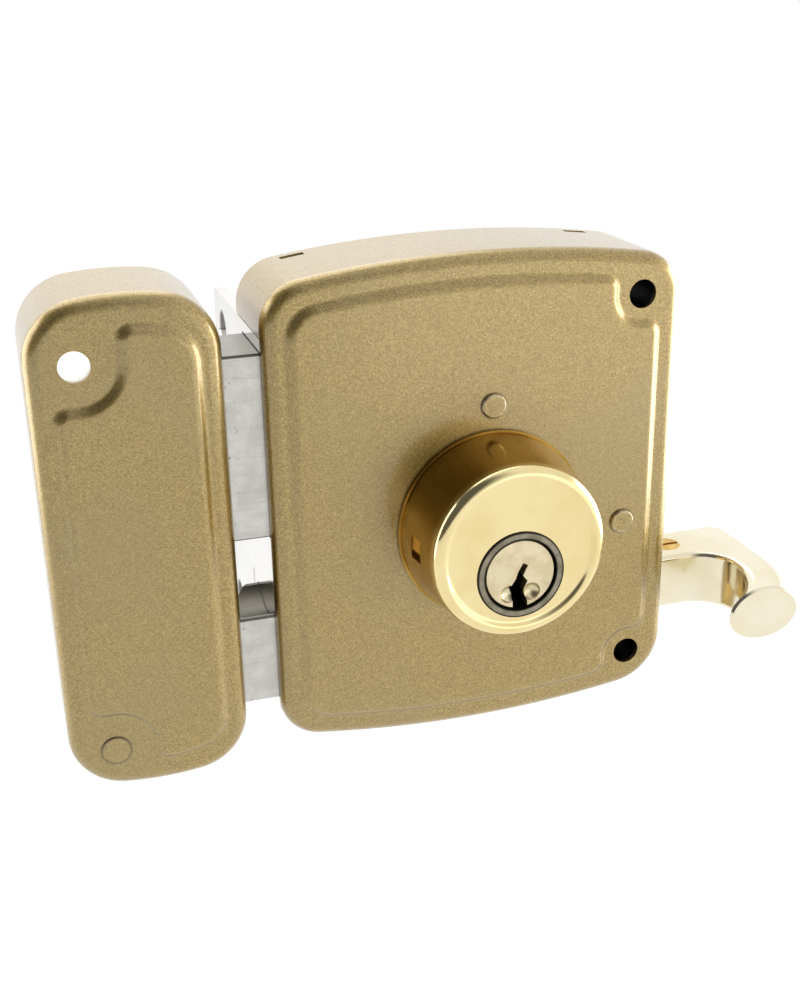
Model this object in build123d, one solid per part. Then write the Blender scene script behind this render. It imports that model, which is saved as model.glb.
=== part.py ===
from build123d import *
import math
import os

# Rim box lock with its keeper, thrown, as it stands on a closed door. Millimetres.
# X runs from the keeper towards the pull handle, Y into the door and Z up.
# The origin is on the key's axis, in the plane of the door's face.
# "Front" is the room side, towards -Y.

# Case
case_width = 96.0
case_height = 113.2
case_depth = 29.0
case_arch_rise = 4.4
case_corner = 10.0
case_low_right_corner = 13.0
case_centre_z = 10.0
backset = 50.0
edge_round = 3.2
sheet = 1.2
panel_raise = 1.2
panel_slope = 1.6
panel_brow_round = 2.2
panel_foot_round = 1.4
panel_corner = 8.0
rim_left = 4.6
rim_right = 5.4
rim_top = 5.4
panel_arch_rise = 3.6
notch_radius = 5.8
notch_blend = 3.5
door_screw_side_inset = 9.9
door_screw_end_inset = 12.1
door_screw_radius = 3.25
sleeve_wall = 1.75
tab_width = 5.0
tab_left_inset = 12.4
tab_right_inset = 15.9
tab_thickness = 1.8
tab_reach = 4.4
tab_sunk = 0.4

# Back plate and forend
plate_thickness = 2.0
plate_gap = 0.2
cylinder_opening_radius = 17.0
forend_thickness = 2.5
forend_top_margin = 3.1
forend_bottom_margin = 3.5
forend_reach = 30.0
forend_corner = 3.0
lip_depth = 4.5
edge_screw_y = 20.4
edge_screw_spacing = 71.0
edge_screw_radius = 2.75
edge_screw_sink = 4.9
tongue_length = 8.0
tongue_sunk = 0.3
tongue_gap = 0.05

# Pillars that join the back plate to the cover
upper_pillar_x = 0.4
upper_pillar_z = 32.9
side_pillar_x = 32.7
side_pillar_z = 1.0
pillar_radius = 3.5
rivet_radius = 2.0
rivet_head_radius = 2.85
rivet_head_height = 0.8
rivet_head_round = 0.45

# Cylinder
collar_z = 5.1
collar_base_radius = 22.3
collar_rim_height = 0.9
collar_rim_step = 0.4
collar_front_radius = 19.6
collar_length = 18.6
collar_front_round = 2.6
collar_face_wall = 3.0
collar_cavity_radius = 15.5
spanner_slots = 2
spanner_slot_length = 5.2
spanner_slot_width = 4.4
spanner_slot_depth = 0.9
spanner_slot_height = 8.7
nose_radius = 10.0
nose_recess = 0.2
body_length = 30.4
chamber_width = 9.0
chamber_top = 17.5
chamber_front_gap = 0.3
cylinder_flange_radius = 21.5
cylinder_flange_thickness = 2.5
collar_screw_offset = 13.2
collar_screw_radius = 1.6
collar_screw_head_radius = 2.7
collar_screw_head_height = 1.7
collar_screw_grip = 8.0
plug_radius = 8.3
plug_recess = 0.7
plug_length = 30.2
plug_edge = 0.5
keyway_depth = 27.0
keyway_height = 11.1
keyway_top = 2.6
scallop_radius = 2.3
scallop_depth = 1.3
scallop_x = 2.6
scallop_z = -4.4
pin_count = 5
pin_radius = 1.4
pin_pitch = 4.2
pin_first_inset = 6.0
key_pin_foot = 0.8
shear_gap = 0.15
driver_pin_length = 5.0
chamber_cap_thickness = 1.2
chamber_cap_width = 5.0
run_gap = 0.05
fit_gap = 0.03

# Cam on the plug's tail
tail_radius = 4.5
tail_flat = 3.4
tail_length = 9.8
tail_bar_slot_width = 2.4
tail_bar_slot_depth = 3.0
spacer_radius = 9.2
cam_reach = 16.0
cam_hub_radius = 7.5
cam_thickness = 4.0
cam_tip_radius = 2.5
clip_thickness = 1.0
clip_radius = 6.5
clip_groove_depth = 0.6
clip_gap = 0.05
clip_mouth = 3.0

# Deadbolt
deadbolt_height = 41.6
deadbolt_bottom = 6.9
bolt_thickness = 18.5
bolt_front_y = -24.3
deadbolt_throw = 20.0
deadbolt_length = 40.0
bolt_edge = 0.4
mouth_gap = 0.35
tail_plate_thickness = 5.0
tail_plate_back_y = -8.9
tail_plate_low_inset = 5.1
tail_plate_top_inset = 4.5
tail_plate_end = 24.0
tail_plate_root = 12.0
tail_plate_corner = 3.0
slot_gap = 0.3
cam_notch_gap = 0.5
cam_notch_width = 20.4
dowel_radius = 2.5

# Latch
latch_height = 20.8
latch_bottom = -33.0
latch_throw = 16.0
latch_length = 36.0
latch_nose_length = 13.0
latch_nose_thickness = 3.2
latch_trough_depth = 3.0
latch_trough_margin = 1.1
slide_thickness = 6.2
slide_height = 7.6
slide_root = 12.0
latch_pin_radius = 2.0
bracket_x = 12.0
bracket_thickness = 2.5
bracket_above_slide = 2.4
bracket_below_rod = 5.0
bracket_front_y = -22.0
bracket_foot = 9.5
bracket_rivet_radius = 1.5
bracket_rivet_head_radius = 2.6
bracket_rivet_head_height = 1.0
spring_rod_radius = 2.0
spring_rod_inset = 4.0
spring_rod_insert = 4.0
spring_rod_bore_depth = 22.0
spring_radius = 3.2
spring_wire_radius = 0.55
spring_turns = 9
spring_end_gap = 0.1

# Friction spring behind the deadbolt's tail
bow_start_x = -8.0
bow_end_x = 24.0
bow_inset = 0.6
bow_width = 5.6
bow_thickness = 0.6
bow_foot = 8.0
bow_gap = 0.3
bow_rivet_radius = 1.2
bow_rivet_head_radius = 2.1
bow_rivet_head_height = 0.9

# Pull handle
handle_section = 13.6
handle_thickness = 14.2
handle_centre_y = -16.8
handle_centre_z = -19.6
handle_inside = 2.0
handle_outer_x = 70.4
handle_inner_x = 53.5
handle_neck = 8.0
handle_outer_round = 4.0
handle_edge_round = 1.2
handle_mid_y = -39.5
handle_mid_width = 9.8
handle_mid_round = 3.0
handle_front_y = -46.9
handle_end_width = 17.9
handle_end_height = 13.3
handle_end_overhang = 0.5
handle_end_round = 0.6
handle_end_bevel = 0.5
handle_flat_arc = 40.0
handle_socket_depth = 12.0
handle_opening_gap = 0.6
handle_screw_x = 51.3
handle_screw_radius = 1.9
handle_screw_head_radius = 3.7
handle_screw_head_height = 2.0

# Keeper
keeper_gap = 8.0
keeper_width = 40.0
keeper_height = 112.0
keeper_arch_rise = 3.0
keeper_corner = 13.0
keeper_centre_z = 8.1
keeper_rim = 4.6
keeper_rim_top = 6.0
keeper_panel_corner = 8.0
keeper_notch_radius = 8.6
keeper_notch_blend = 3.4
keeper_corner_share = 0.5
keeper_blend_share = 0.25
keeper_screw_inset = 10.0
keeper_screw_top_inset = 13.7
keeper_knockout_inset = 10.3
keeper_mouth_gap = 1.2
strike_mouth_gap = 0.8
strike_thickness = 2.0
strike_margin = 5.0
knockout_raise = 0.35
keeper_travel = 30.0

# One overrun for every cut
over = 1.0

# Places worked out from the sizes
rim_y = -(case_depth - panel_raise)
panel_y = -case_depth
rim_inner_y = rim_y + sheet
panel_inner_y = panel_y + sheet
case_left = -backset
case_right = case_left + case_width
case_centre_x = (case_left + case_right) / 2
case_inner_right = case_right - sheet
seam_y = rim_y + edge_round
door_screw_x = case_right - door_screw_side_inset
door_screw_spacing = case_height - 2 * door_screw_end_inset
tab_left_x = case_left + tab_left_inset
tab_right_x = case_right - tab_right_inset
deadbolt_top = deadbolt_bottom + deadbolt_height
latch_top = latch_bottom + latch_height
forend_top = deadbolt_top + forend_top_margin
forend_bottom = latch_bottom - forend_bottom_margin
forend_inner_x = case_left + forend_thickness
forend_front_y = panel_y + lip_depth
forend_middle_z = (forend_top + forend_bottom) / 2
plate_front_y = -plate_thickness
bolt_back_y = bolt_front_y + bolt_thickness
deadbolt_nose_x = case_left - deadbolt_throw
deadbolt_rear_x = deadbolt_nose_x + deadbolt_length
latch_nose_x = case_left - latch_throw
latch_rear_x = latch_nose_x + latch_length
collar_front_y = panel_y - collar_length
nose_y = collar_front_y + nose_recess
body_rear_y = nose_y + body_length
plug_front_y = collar_front_y + plug_recess
plug_rear_y = plug_front_y + plug_length
plug_tail_end_y = plug_rear_y + tail_length
tail_plate_front_y = tail_plate_back_y - tail_plate_thickness
tail_plate_bottom = deadbolt_bottom + tail_plate_low_inset
tail_plate_top = deadbolt_top - tail_plate_top_inset
bow_bottom = tail_plate_top - bow_inset - bow_width
tail_plate_middle_y = (tail_plate_back_y + tail_plate_front_y) / 2
cam_front_y = tail_plate_middle_y - cam_thickness / 2
cam_back_y = cam_front_y + cam_thickness
cam_notch_top = cam_reach + cam_notch_gap
cam_notch_centre_x = -deadbolt_throw / 2
handle_outer_y = handle_centre_y + handle_thickness / 2
handle_front_wall_y = handle_centre_y - handle_thickness / 2
handle_start_x = case_right - handle_inside
handle_top = handle_centre_z + handle_section / 2
handle_bottom = handle_centre_z - handle_section / 2
handle_neck_inner_x = handle_outer_x - handle_neck
handle_scoop_radius = handle_neck_inner_x - handle_inner_x
handle_neck_y = handle_front_wall_y - handle_scoop_radius
slide_end_x = handle_start_x + handle_socket_depth
slide_front_y = handle_centre_y - slide_thickness / 2
slide_back_y = handle_centre_y + slide_thickness / 2
slide_bottom = handle_centre_z - slide_height / 2
slide_top = handle_centre_z + slide_height / 2
spring_rod_z = latch_bottom + spring_rod_inset
bracket_top = slide_top + bracket_above_slide
bracket_bottom = spring_rod_z - bracket_below_rod
keeper_right = case_left - keeper_gap
keeper_left = keeper_right - keeper_width
keeper_centre_x = (keeper_left + keeper_right) / 2
keeper_screw_x = keeper_left + keeper_screw_inset
keeper_screw_z = keeper_centre_z + keeper_height / 2 - keeper_screw_top_inset
knockout_z = keeper_centre_z - keeper_height / 2 + keeper_knockout_inset
keeper_room = keeper_right - keeper_rim - keeper_screw_x - keeper_notch_radius
sleeve_radius = door_screw_radius + sleeve_wall
pin_bore_radius = pin_radius + run_gap


# Shapes that several pieces use

def block(x_span, y_span, z_span):
    """A box between the two values of each span."""
    spans = (x_span, y_span, z_span)
    middle = [(low + high) / 2 for low, high in spans]
    size = [high - low for low, high in spans]
    return Pos(*middle) * Box(*size)


def rod_along_y(x, z, radius, y_span):
    low, high = y_span
    return Pos(x, (low + high) / 2, z) * Rot(90, 0, 0) * Cylinder(radius, high - low)


def rod_along_x(y, z, radius, x_span):
    low, high = x_span
    return Pos((low + high) / 2, y, z) * Rot(0, 90, 0) * Cylinder(radius, high - low)


def rod_along_z(x, y, radius, z_span):
    low, high = z_span
    return Pos(x, y, (low + high) / 2) * Cylinder(radius, high - low)


def slab(outline, back_y, front_y):
    """An outline seen from the room, given a thickness from back_y to front_y."""
    return extrude(Plane.XZ.offset(-back_y) * outline, amount=back_y - front_y)


def flat_faces_at(solid, y):
    """The faces square to Y that lie at y, the largest last."""
    level = [face for face in solid.faces().filter_by(Plane.XZ) if abs(face.center().Y - y) < fit_gap]
    return sorted(level, key=lambda face: face.area)


def arched_outline(width, height, rise, corner, low_right_corner):
    """A rounded rectangle whose top and bottom edges are gently arched."""
    half_width = width / 2
    half_height = height / 2
    shoulder = half_height - rise
    right = Line((half_width, -shoulder), (half_width, shoulder))
    top = ThreePointArc((half_width, shoulder), (0, half_height), (-half_width, shoulder))
    left = Line((-half_width, shoulder), (-half_width, -shoulder))
    bottom = ThreePointArc((-half_width, -shoulder), (0, -half_height), (half_width, -shoulder))
    face = make_face(right + top + left + bottom)
    face = fillet(face.vertices().sort_by_distance((half_width, -shoulder))[0], low_right_corner)
    others = [(half_width, shoulder), (-half_width, shoulder), (-half_width, -shoulder)]
    sharp = [face.vertices().sort_by_distance(place)[0] for place in others]
    return fillet(sharp, corner)


def arch_drop(x, width, rise):
    """How far the arch has come down from its crown at a distance x from the middle."""
    half_width = width / 2
    radius = (half_width ** 2 + rise ** 2) / (2 * rise)
    return radius - math.sqrt(radius ** 2 - x ** 2)


def rise_drawn_in(width, rise, inset):
    """The rise that keeps an outline's arch parallel when the outline is drawn in."""
    half_width = width / 2
    radius = (half_width ** 2 + rise ** 2) / (2 * rise) - inset
    return radius - math.sqrt(radius ** 2 - (half_width - inset) ** 2)


def corner_notch(x, z, radius, x_way, z_way, reach):
    """The rounded bite that a screw hole near a corner takes out of a raised panel."""
    across = Pos(x + x_way * (reach - radius) / 2, z + z_way * reach / 2)
    upward = Pos(x + x_way * reach / 2, z + z_way * (reach - radius) / 2)
    beside = across * Rectangle(reach + radius, reach)
    above = upward * Rectangle(reach, reach + radius)
    return Pos(x, z) * Circle(radius) + beside + above


def blend_bite(outline, bites, blend):
    """Take the bites out of an outline and round the two corners that each one leaves."""
    plain = outline - bites
    old = [vertex.center() for vertex in outline.vertices()]
    fresh = [v for v in plain.vertices() if min((v.center() - point).length for point in old) > fit_gap]
    edge_points = [v for v in fresh if is_on_edge(v.center(), outline)]
    return fillet(edge_points, blend)


def is_on_edge(point, outline):
    return min(edge.distance_to(point) for edge in outline.edges()) < fit_gap


def plateau(foot_outline, brow_outline, foot_y, brow_y):
    """The low raised part of a panel, with sloping sides between two outlines."""
    foot = Plane.XZ.offset(-foot_y) * foot_outline
    brow = Plane.XZ.offset(-brow_y) * brow_outline
    return loft([foot, brow], ruled=True)


def pressed_shell(outline, panel, front_y):
    """A cover pressed from sheet: rounded front edge, open back and a softly raised panel."""
    flat_y = front_y + panel_raise
    outer = slab(outline, 0, flat_y)
    outer = outer.fillet(edge_round, flat_faces_at(outer, flat_y)[-1].edges())
    outer = outer + plateau(panel(0), panel(panel_slope), flat_y, front_y)
    foot = flat_faces_at(outer, flat_y)[-1].inner_wires()[0]
    outer = outer.fillet(panel_foot_round, foot.edges())
    brow = flat_faces_at(outer, front_y)[-1].outer_wire()
    outer = outer.fillet(panel_brow_round, brow.edges())
    hollow = slab(offset(outline, -sheet), over, flat_y + sheet)
    hollow = hollow.fillet(edge_round - sheet, flat_faces_at(hollow, flat_y + sheet)[-1].edges())
    inset = sheet / 2
    behind = plateau(panel(inset), panel(inset + panel_slope), flat_y + sheet, front_y + sheet)
    return outer - hollow - behind


def front_of(cover, outline):
    """The panel and the rounded edge of a cover, as far as the seam with its walls."""
    return cover - slab(offset(outline, over), over, seam_y)


def walls_of(cover, outline):
    return cover - slab(offset(outline, over), seam_y, panel_y - over)


# Case

def case_outline():
    outline = arched_outline(case_width, case_height, case_arch_rise, case_corner, case_low_right_corner)
    return Pos(case_centre_x, case_centre_z) * outline


def door_screw_places():
    half = door_screw_spacing / 2
    return [(door_screw_x, case_centre_z + half), (door_screw_x, case_centre_z - half)]


def case_panel(inset):
    """The raised panel, drawn in by inset. It turns aside for the two screws on the right."""
    width = case_width - rim_left - rim_right
    height = case_height - 2 * rim_top
    corner = panel_corner - inset
    rise = rise_drawn_in(width, panel_arch_rise, inset)
    outline = arched_outline(width - 2 * inset, height - 2 * inset, rise, corner, corner)
    outline = Pos(case_left + rim_left + width / 2, case_centre_z) * outline
    upper, lower = door_screw_places()
    bites = corner_notch(*upper, notch_radius + inset, 1, 1, case_corner + rim_top)
    bites += corner_notch(*lower, notch_radius + inset, 1, -1, case_corner + rim_top)
    return blend_bite(outline, bites, notch_blend - inset)


def wall_z(x, upward):
    """Height of the case's outer top or bottom wall at x."""
    drop = arch_drop(x - case_centre_x, case_width, case_arch_rise)
    return case_centre_z + upward * (case_height / 2 - drop)


def tab_places():
    return [(x, way) for x in (tab_left_x, tab_right_x) for way in (1, -1)]


def case_cover():
    cover = pressed_shell(case_outline(), case_panel, panel_y)
    for x, z in door_screw_places():
        cover -= rod_along_y(x, z, door_screw_radius, (panel_y - over, 0))
    for x, z in ((upper_pillar_x, upper_pillar_z), (side_pillar_x, side_pillar_z)):
        cover -= rod_along_y(x, z, rivet_radius, (panel_y - over, 0))
    cover -= rod_along_y(0, collar_z, collar_cavity_radius, (panel_y - over, 0))
    for x, z in collar_screw_places():
        cover -= rod_along_y(x, z, collar_screw_radius, (panel_y - over, 0))
    cover -= forend_window() + handle_opening()
    for x, way in tab_places():
        cover -= tab_slot(x, way)
    return cover


def forend_window():
    z_span = (forend_bottom - plate_gap, forend_top + plate_gap)
    return block((case_left - over, forend_inner_x + over), (seam_y, over), z_span)


def handle_opening():
    gap = handle_opening_gap
    y_span = (seam_y, handle_outer_y + gap)
    z_span = (handle_bottom - gap, handle_top + gap)
    return block((case_inner_right - over, case_right + over), y_span, z_span)


def tab_slot(x, way):
    half = tab_width / 2 + plate_gap
    low, high = sorted((wall_z(x, way) - way * 2 * sheet, wall_z(x, way) + way * over))
    y_span = (-tab_reach - plate_gap, -tab_reach + tab_thickness + plate_gap)
    return block((x - half, x + half), y_span, (low, high))


def plate_tab(x, way):
    """A tab folded forward from the plate's edge, with a nose that snaps into the cover's slot."""
    half = tab_width / 2
    lowest_wall = min((wall_z(x + half, way), wall_z(x - half, way)), key=lambda z: way * z)
    edge = lowest_wall - way * (sheet + plate_gap)
    root = edge - way * tab_thickness
    tip = lowest_wall - way * tab_sunk
    riser = block((x - half, x + half), (-tab_reach, 0), sorted((root, edge)))
    nose = block((x - half, x + half), (-tab_reach, -tab_reach + tab_thickness), sorted((root, tip)))
    return riser + nose


def tongue_places():
    quarter = (forend_top - forend_bottom) / 4
    return [forend_middle_z + quarter, forend_middle_z - quarter]


def plate_tongue(z, gap):
    """A tongue from the back plate into the forend, a little below the door's face."""
    half = tongue_length / 2 + gap
    y_span = (plate_front_y - gap, gap - tongue_sunk)
    return block((case_left - gap, forend_inner_x + gap), y_span, (z - half, z + half))


def back_plate():
    plate = slab(offset(case_outline(), -(sheet + plate_gap)), 0, plate_front_y)
    plate -= block((case_left - over, forend_inner_x), (plate_front_y - over, over), z_reach())
    for z in tongue_places():
        plate += plate_tongue(z, 0)
    for x, way in tab_places():
        plate += plate_tab(x, way)
    for x, z in door_screw_places():
        plate -= rod_along_y(x, z, door_screw_radius, (plate_front_y - over, over))
    for x, z in ((upper_pillar_x, upper_pillar_z), (side_pillar_x, side_pillar_z)):
        plate -= rod_along_y(x, z, rivet_radius, (plate_front_y - over, over))
    plate -= rod_along_y(0, 0, cylinder_opening_radius, (plate_front_y - over, over))
    for x, z in bracket_rivet_places():
        plate -= rod_along_y(x, z, bracket_rivet_radius, (plate_front_y - over, over))
    return plate - rod_along_y(*bow_rivet_place(), bow_rivet_radius, (plate_front_y - over, over))


def z_reach():
    return (case_centre_z - case_height, case_centre_z + case_height)


def edge_screw_places():
    half = edge_screw_spacing / 2
    return [forend_middle_z + half, forend_middle_z - half]


def forend():
    """The plate on the door's edge, with the two mouths and a flange that wraps the door."""
    y_span = (forend_front_y, forend_reach)
    plate = block((case_left, forend_inner_x), y_span, (forend_bottom, forend_top))
    plate = plate.fillet(forend_corner, plate.edges().filter_by(Axis.X).group_by(Axis.Y)[-1])
    x_span = (case_left - over, forend_inner_x + over)
    y_span = (bolt_front_y - mouth_gap, bolt_back_y + mouth_gap)
    plate -= block(x_span, y_span, (deadbolt_bottom - mouth_gap, deadbolt_top + mouth_gap))
    plate -= latch_section(x_span, mouth_gap)
    for z in edge_screw_places():
        plate -= rod_along_x(edge_screw_y, z, edge_screw_radius, x_span)
        depth = edge_screw_sink - edge_screw_radius
        sink = Cone(edge_screw_sink, edge_screw_radius, depth)
        plate -= Pos(case_left + depth / 2, edge_screw_y, z) * Rot(0, 90, 0) * sink
    for z in tongue_places():
        plate -= plate_tongue(z, tongue_gap)
    return plate


def pillar(x, z):
    """A stepped post, riveted into the back plate and headed over on the cover."""
    shank = rod_along_y(x, z, pillar_radius, (panel_inner_y, plate_front_y))
    stem = rod_along_y(x, z, rivet_radius - fit_gap, (panel_y, 0))
    head = rod_along_y(x, z, rivet_head_radius, (panel_y - rivet_head_height, panel_y))
    brow = head.faces().sort_by(Axis.Y)[0].edges()
    return shank + stem + head.fillet(rivet_head_round, brow)


def screw_sleeve(x, z, y_span):
    return rod_along_y(x, z, sleeve_radius, y_span) - rod_along_y(x, z, door_screw_radius, y_span)


def screw_sleeves():
    return [screw_sleeve(x, z, (rim_inner_y, plate_front_y)) for x, z in door_screw_places()]


# Cylinder

def collar_screw_places():
    z = collar_z - collar_screw_offset
    return [(collar_screw_offset, z), (-collar_screw_offset, z)]


def collar_radius_at(height):
    share = height / collar_length
    foot = collar_base_radius - collar_rim_step
    return foot + (collar_front_radius - foot) * share


def cylinder_collar():
    """The tapered brass collar, turned in one piece with a thick face."""
    rim_top_y = panel_y - collar_rim_height
    back_of_face = collar_front_y + collar_face_wall
    outline = Polyline(
        (collar_cavity_radius, panel_y),
        (collar_base_radius, panel_y),
        (collar_base_radius, rim_top_y),
        (collar_radius_at(collar_rim_height), rim_top_y),
        (collar_front_radius, collar_front_y),
        (0, collar_front_y),
        (0, back_of_face),
        (collar_cavity_radius, back_of_face),
        close=True,
    )
    collar = revolve(make_face(outline), Axis.Y)
    front = collar.edges().filter_by(GeomType.CIRCLE).group_by(Axis.Y)[0]
    collar = Pos(0, 0, collar_z) * collar.fillet(collar_front_round, front)
    for index in range(spanner_slots):
        collar -= spanner_slot(360 * index / spanner_slots)
    collar -= rod_along_y(0, 0, nose_radius + run_gap, (collar_front_y - over, back_of_face + over))
    for x, z in collar_screw_places():
        collar -= rod_along_y(x, z, collar_screw_radius, (panel_y - collar_screw_grip, panel_y + over))
    return collar


def spanner_slot(angle):
    """A small square-ended notch in the collar's side for a pin spanner."""
    y = panel_y - spanner_slot_height
    radius = collar_radius_at(spanner_slot_height)
    half_width = spanner_slot_width / 2
    half_length = spanner_slot_length / 2
    x_span = (radius - spanner_slot_depth, radius + over)
    cut = block(x_span, (y - half_width, y + half_width), (-half_length, half_length))
    return Pos(0, 0, collar_z) * Rot(0, angle, 0) * cut


def pin_places():
    first = plug_front_y + pin_first_inset
    return [first + pin_pitch * index for index in range(pin_count)]


def housing():
    """The round nose and the pin chamber above it, before they are bored."""
    half = chamber_width / 2
    chamber_front = collar_front_y + collar_face_wall + chamber_front_gap
    chamber = block((-half, half), (chamber_front, body_rear_y), (0, chamber_top))
    return rod_along_y(0, 0, nose_radius, (nose_y, body_rear_y)) + chamber


def cylinder_flange():
    """The disc behind the panel that the housing is pressed into and the collar pulls against."""
    y_span = (panel_inner_y, panel_inner_y + cylinder_flange_thickness)
    flange = rod_along_y(0, collar_z, cylinder_flange_radius, y_span) - housing()
    for x, z in collar_screw_places():
        flange -= rod_along_y(x, z, collar_screw_radius + run_gap, y_span)
    return flange


def cylinder_body():
    bore_span = (nose_y - over, body_rear_y + over)
    body = housing() - rod_along_y(0, 0, plug_radius + run_gap, bore_span)
    for y in pin_places():
        body -= rod_along_z(0, y, pin_bore_radius, (0, chamber_top + over))
    return body - chamber_strip(over)


def chamber_strip(top_over):
    half = chamber_cap_width / 2
    places = pin_places()
    y_span = (places[0] - pin_pitch / 2, places[-1] + pin_pitch / 2)
    return block((-half, half), y_span, (chamber_top - chamber_cap_thickness, chamber_top + top_over))


def driver_pins():
    low = plug_radius + run_gap + shear_gap
    return [rod_along_z(0, y, pin_radius, (low, low + driver_pin_length)) for y in pin_places()]


def collar_screw(x, z):
    head_y = panel_inner_y + cylinder_flange_thickness
    stem = rod_along_y(x, z, collar_screw_radius - fit_gap, (panel_y - collar_screw_grip, head_y))
    head = rod_along_y(x, z, collar_screw_head_radius, (head_y, head_y + collar_screw_head_height))
    return stem + head


def keyway():
    """The key's path: a stepped slot, narrow at its top and open at the plug's lower edge."""
    step = keyway_height / 6
    wide_share = 0.155
    narrow_share = 0.1
    lean_share = 0.06
    wide = keyway_height * wide_share
    narrow = keyway_height * narrow_share
    lean = keyway_height * lean_share
    foot = -plug_radius - over
    points = [
        (lean, keyway_top),
        (narrow + lean, keyway_top - lean),
        (lean, keyway_top - 2 * step + lean),
        (wide, keyway_top - 2 * step - lean),
        (narrow, keyway_top - 3 * step),
        (narrow, keyway_top - 4 * step),
        (wide, keyway_top - 5 * step),
        (wide, foot),
        (-wide, foot),
        (-wide, keyway_top - 4 * step),
        (-wide - lean, keyway_top - 3 * step),
        (-narrow, keyway_top - 2 * step),
        (-narrow + lean, keyway_top - step),
    ]
    outline = make_face(Polyline(*points, close=True))
    return slab(outline, plug_front_y + keyway_depth, plug_front_y - over)


def key_plug():
    """The turning plug, its keyway and the tail that carries the cam."""
    plug = rod_along_y(0, 0, plug_radius, (plug_front_y, plug_rear_y))
    plug = plug.chamfer(plug_edge, None, plug.faces().sort_by(Axis.Y)[0].edges())
    plug += rod_along_y(0, 0, tail_radius, (plug_rear_y, plug_tail_end_y))
    tail_span = (plug_rear_y, plug_tail_end_y + over)
    plug -= block((-plug_radius, plug_radius), tail_span, (-plug_radius, -tail_flat))
    groove = rod_along_y(0, 0, plug_radius, (cam_back_y, cam_back_y + clip_thickness))
    plug -= groove - rod_along_y(0, 0, tail_radius - clip_groove_depth, (plug_rear_y, plug_tail_end_y))
    half_slot = tail_bar_slot_width / 2
    slot_span = (plug_tail_end_y - tail_bar_slot_depth, plug_tail_end_y + over)
    plug -= block((-plug_radius, plug_radius), slot_span, (-half_slot, half_slot))
    plug -= keyway()
    for way in (1, -1):
        lift = scallop_radius - scallop_depth
        plug -= Pos(way * scallop_x, plug_front_y - lift, scallop_z) * Sphere(scallop_radius)
    for y in pin_places():
        plug -= rod_along_z(0, y, pin_bore_radius, (key_pin_foot, plug_radius + over))
    return plug


def key_pins():
    top = plug_radius - shear_gap
    return [rod_along_z(0, y, pin_radius, (key_pin_foot, top)) for y in pin_places()]


def tail_hole():
    """The round hole with one flat that fits the plug's tail."""
    cut = Pos(0, -tail_flat - fit_gap - tail_radius) * Rectangle(2 * cam_hub_radius, 2 * tail_radius)
    return Circle(tail_radius + fit_gap) - cut


def plug_spacer():
    """A ring behind the housing. It keeps the plug from coming out and the cam in its place."""
    return slab(Circle(spacer_radius) - tail_hole(), cam_front_y - clip_gap, plug_rear_y + clip_gap)


def drive_cam():
    """The cam on the plug's tail. At rest it hangs down, clear of the deadbolt."""
    tip_z = cam_tip_radius - cam_reach
    hub = Circle(cam_hub_radius)
    left_side = [(-cam_hub_radius, 0), (-cam_tip_radius, tip_z)]
    right_side = [(cam_tip_radius, tip_z), (cam_hub_radius, 0)]
    arm = make_face(Polyline(*left_side, *right_side, close=True))
    outline = hub + arm + Pos(0, tip_z) * Circle(cam_tip_radius)
    return slab(outline - tail_hole(), cam_back_y, cam_front_y)


def cam_clip():
    inner = tail_radius - clip_groove_depth + clip_gap
    ring = Circle(clip_radius) - Circle(inner)
    mouth = Pos(clip_radius, 0) * Rectangle(2 * clip_radius, clip_mouth)
    return slab(ring - mouth, cam_back_y + clip_thickness - clip_gap, cam_back_y + clip_gap)


# Deadbolt

def tail_slab(outline):
    return slab(outline, tail_plate_back_y, tail_plate_front_y)


def span_rectangle(x_span, z_span):
    middle = Pos(sum(x_span) / 2, sum(z_span) / 2)
    return middle * Rectangle(x_span[1] - x_span[0], z_span[1] - z_span[0])


def deadbolt_tail_outline():
    """The tail plate, with the slot that the upper pillar guides and the notch for the cam."""
    root_x = deadbolt_rear_x - tail_plate_root
    plate = span_rectangle((root_x, tail_plate_end), (tail_plate_bottom, tail_plate_top))
    ends = plate.vertices().sort_by(Axis.X)[-2:]
    plate = fillet(ends, tail_plate_corner)
    reach = pillar_radius + slot_gap
    slot_length = deadbolt_throw + 2 * reach
    slot = Pos(upper_pillar_x - deadbolt_throw / 2, upper_pillar_z) * SlotOverall(slot_length, 2 * reach)
    half = cam_notch_width / 2
    notch = span_rectangle((cam_notch_centre_x - half, cam_notch_centre_x + half), (0, cam_notch_top))
    return plate - slot - notch


def deadbolt_tail():
    tail = tail_slab(deadbolt_tail_outline())
    for x, z in dowel_places():
        tail -= rod_along_y(x, z, dowel_radius, (bolt_front_y, bolt_back_y))
    return tail


def dowel_places():
    x = deadbolt_rear_x - tail_plate_root / 2
    quarter = (tail_plate_top - tail_plate_bottom) / 4
    middle = (tail_plate_top + tail_plate_bottom) / 2
    return [(x, middle + quarter), (x, middle - quarter)]


def deadbolt_head():
    x_span = (deadbolt_nose_x, deadbolt_rear_x)
    head = block(x_span, (bolt_front_y, bolt_back_y), (deadbolt_bottom, deadbolt_top))
    head = head.chamfer(bolt_edge, None, head.edges())
    root_x = deadbolt_rear_x - tail_plate_root
    root = block(
        (root_x, deadbolt_rear_x + over),
        (tail_plate_front_y, tail_plate_back_y),
        (tail_plate_bottom, tail_plate_top),
    )
    head -= root
    for x, z in dowel_places():
        head -= rod_along_y(x, z, dowel_radius, (bolt_front_y - over, bolt_back_y + over))
    return head


def deadbolt_dowels():
    y_span = (bolt_front_y + bolt_edge, bolt_back_y - bolt_edge)
    return [rod_along_y(x, z, dowel_radius - fit_gap, y_span) for x, z in dowel_places()]


# Latch

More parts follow.
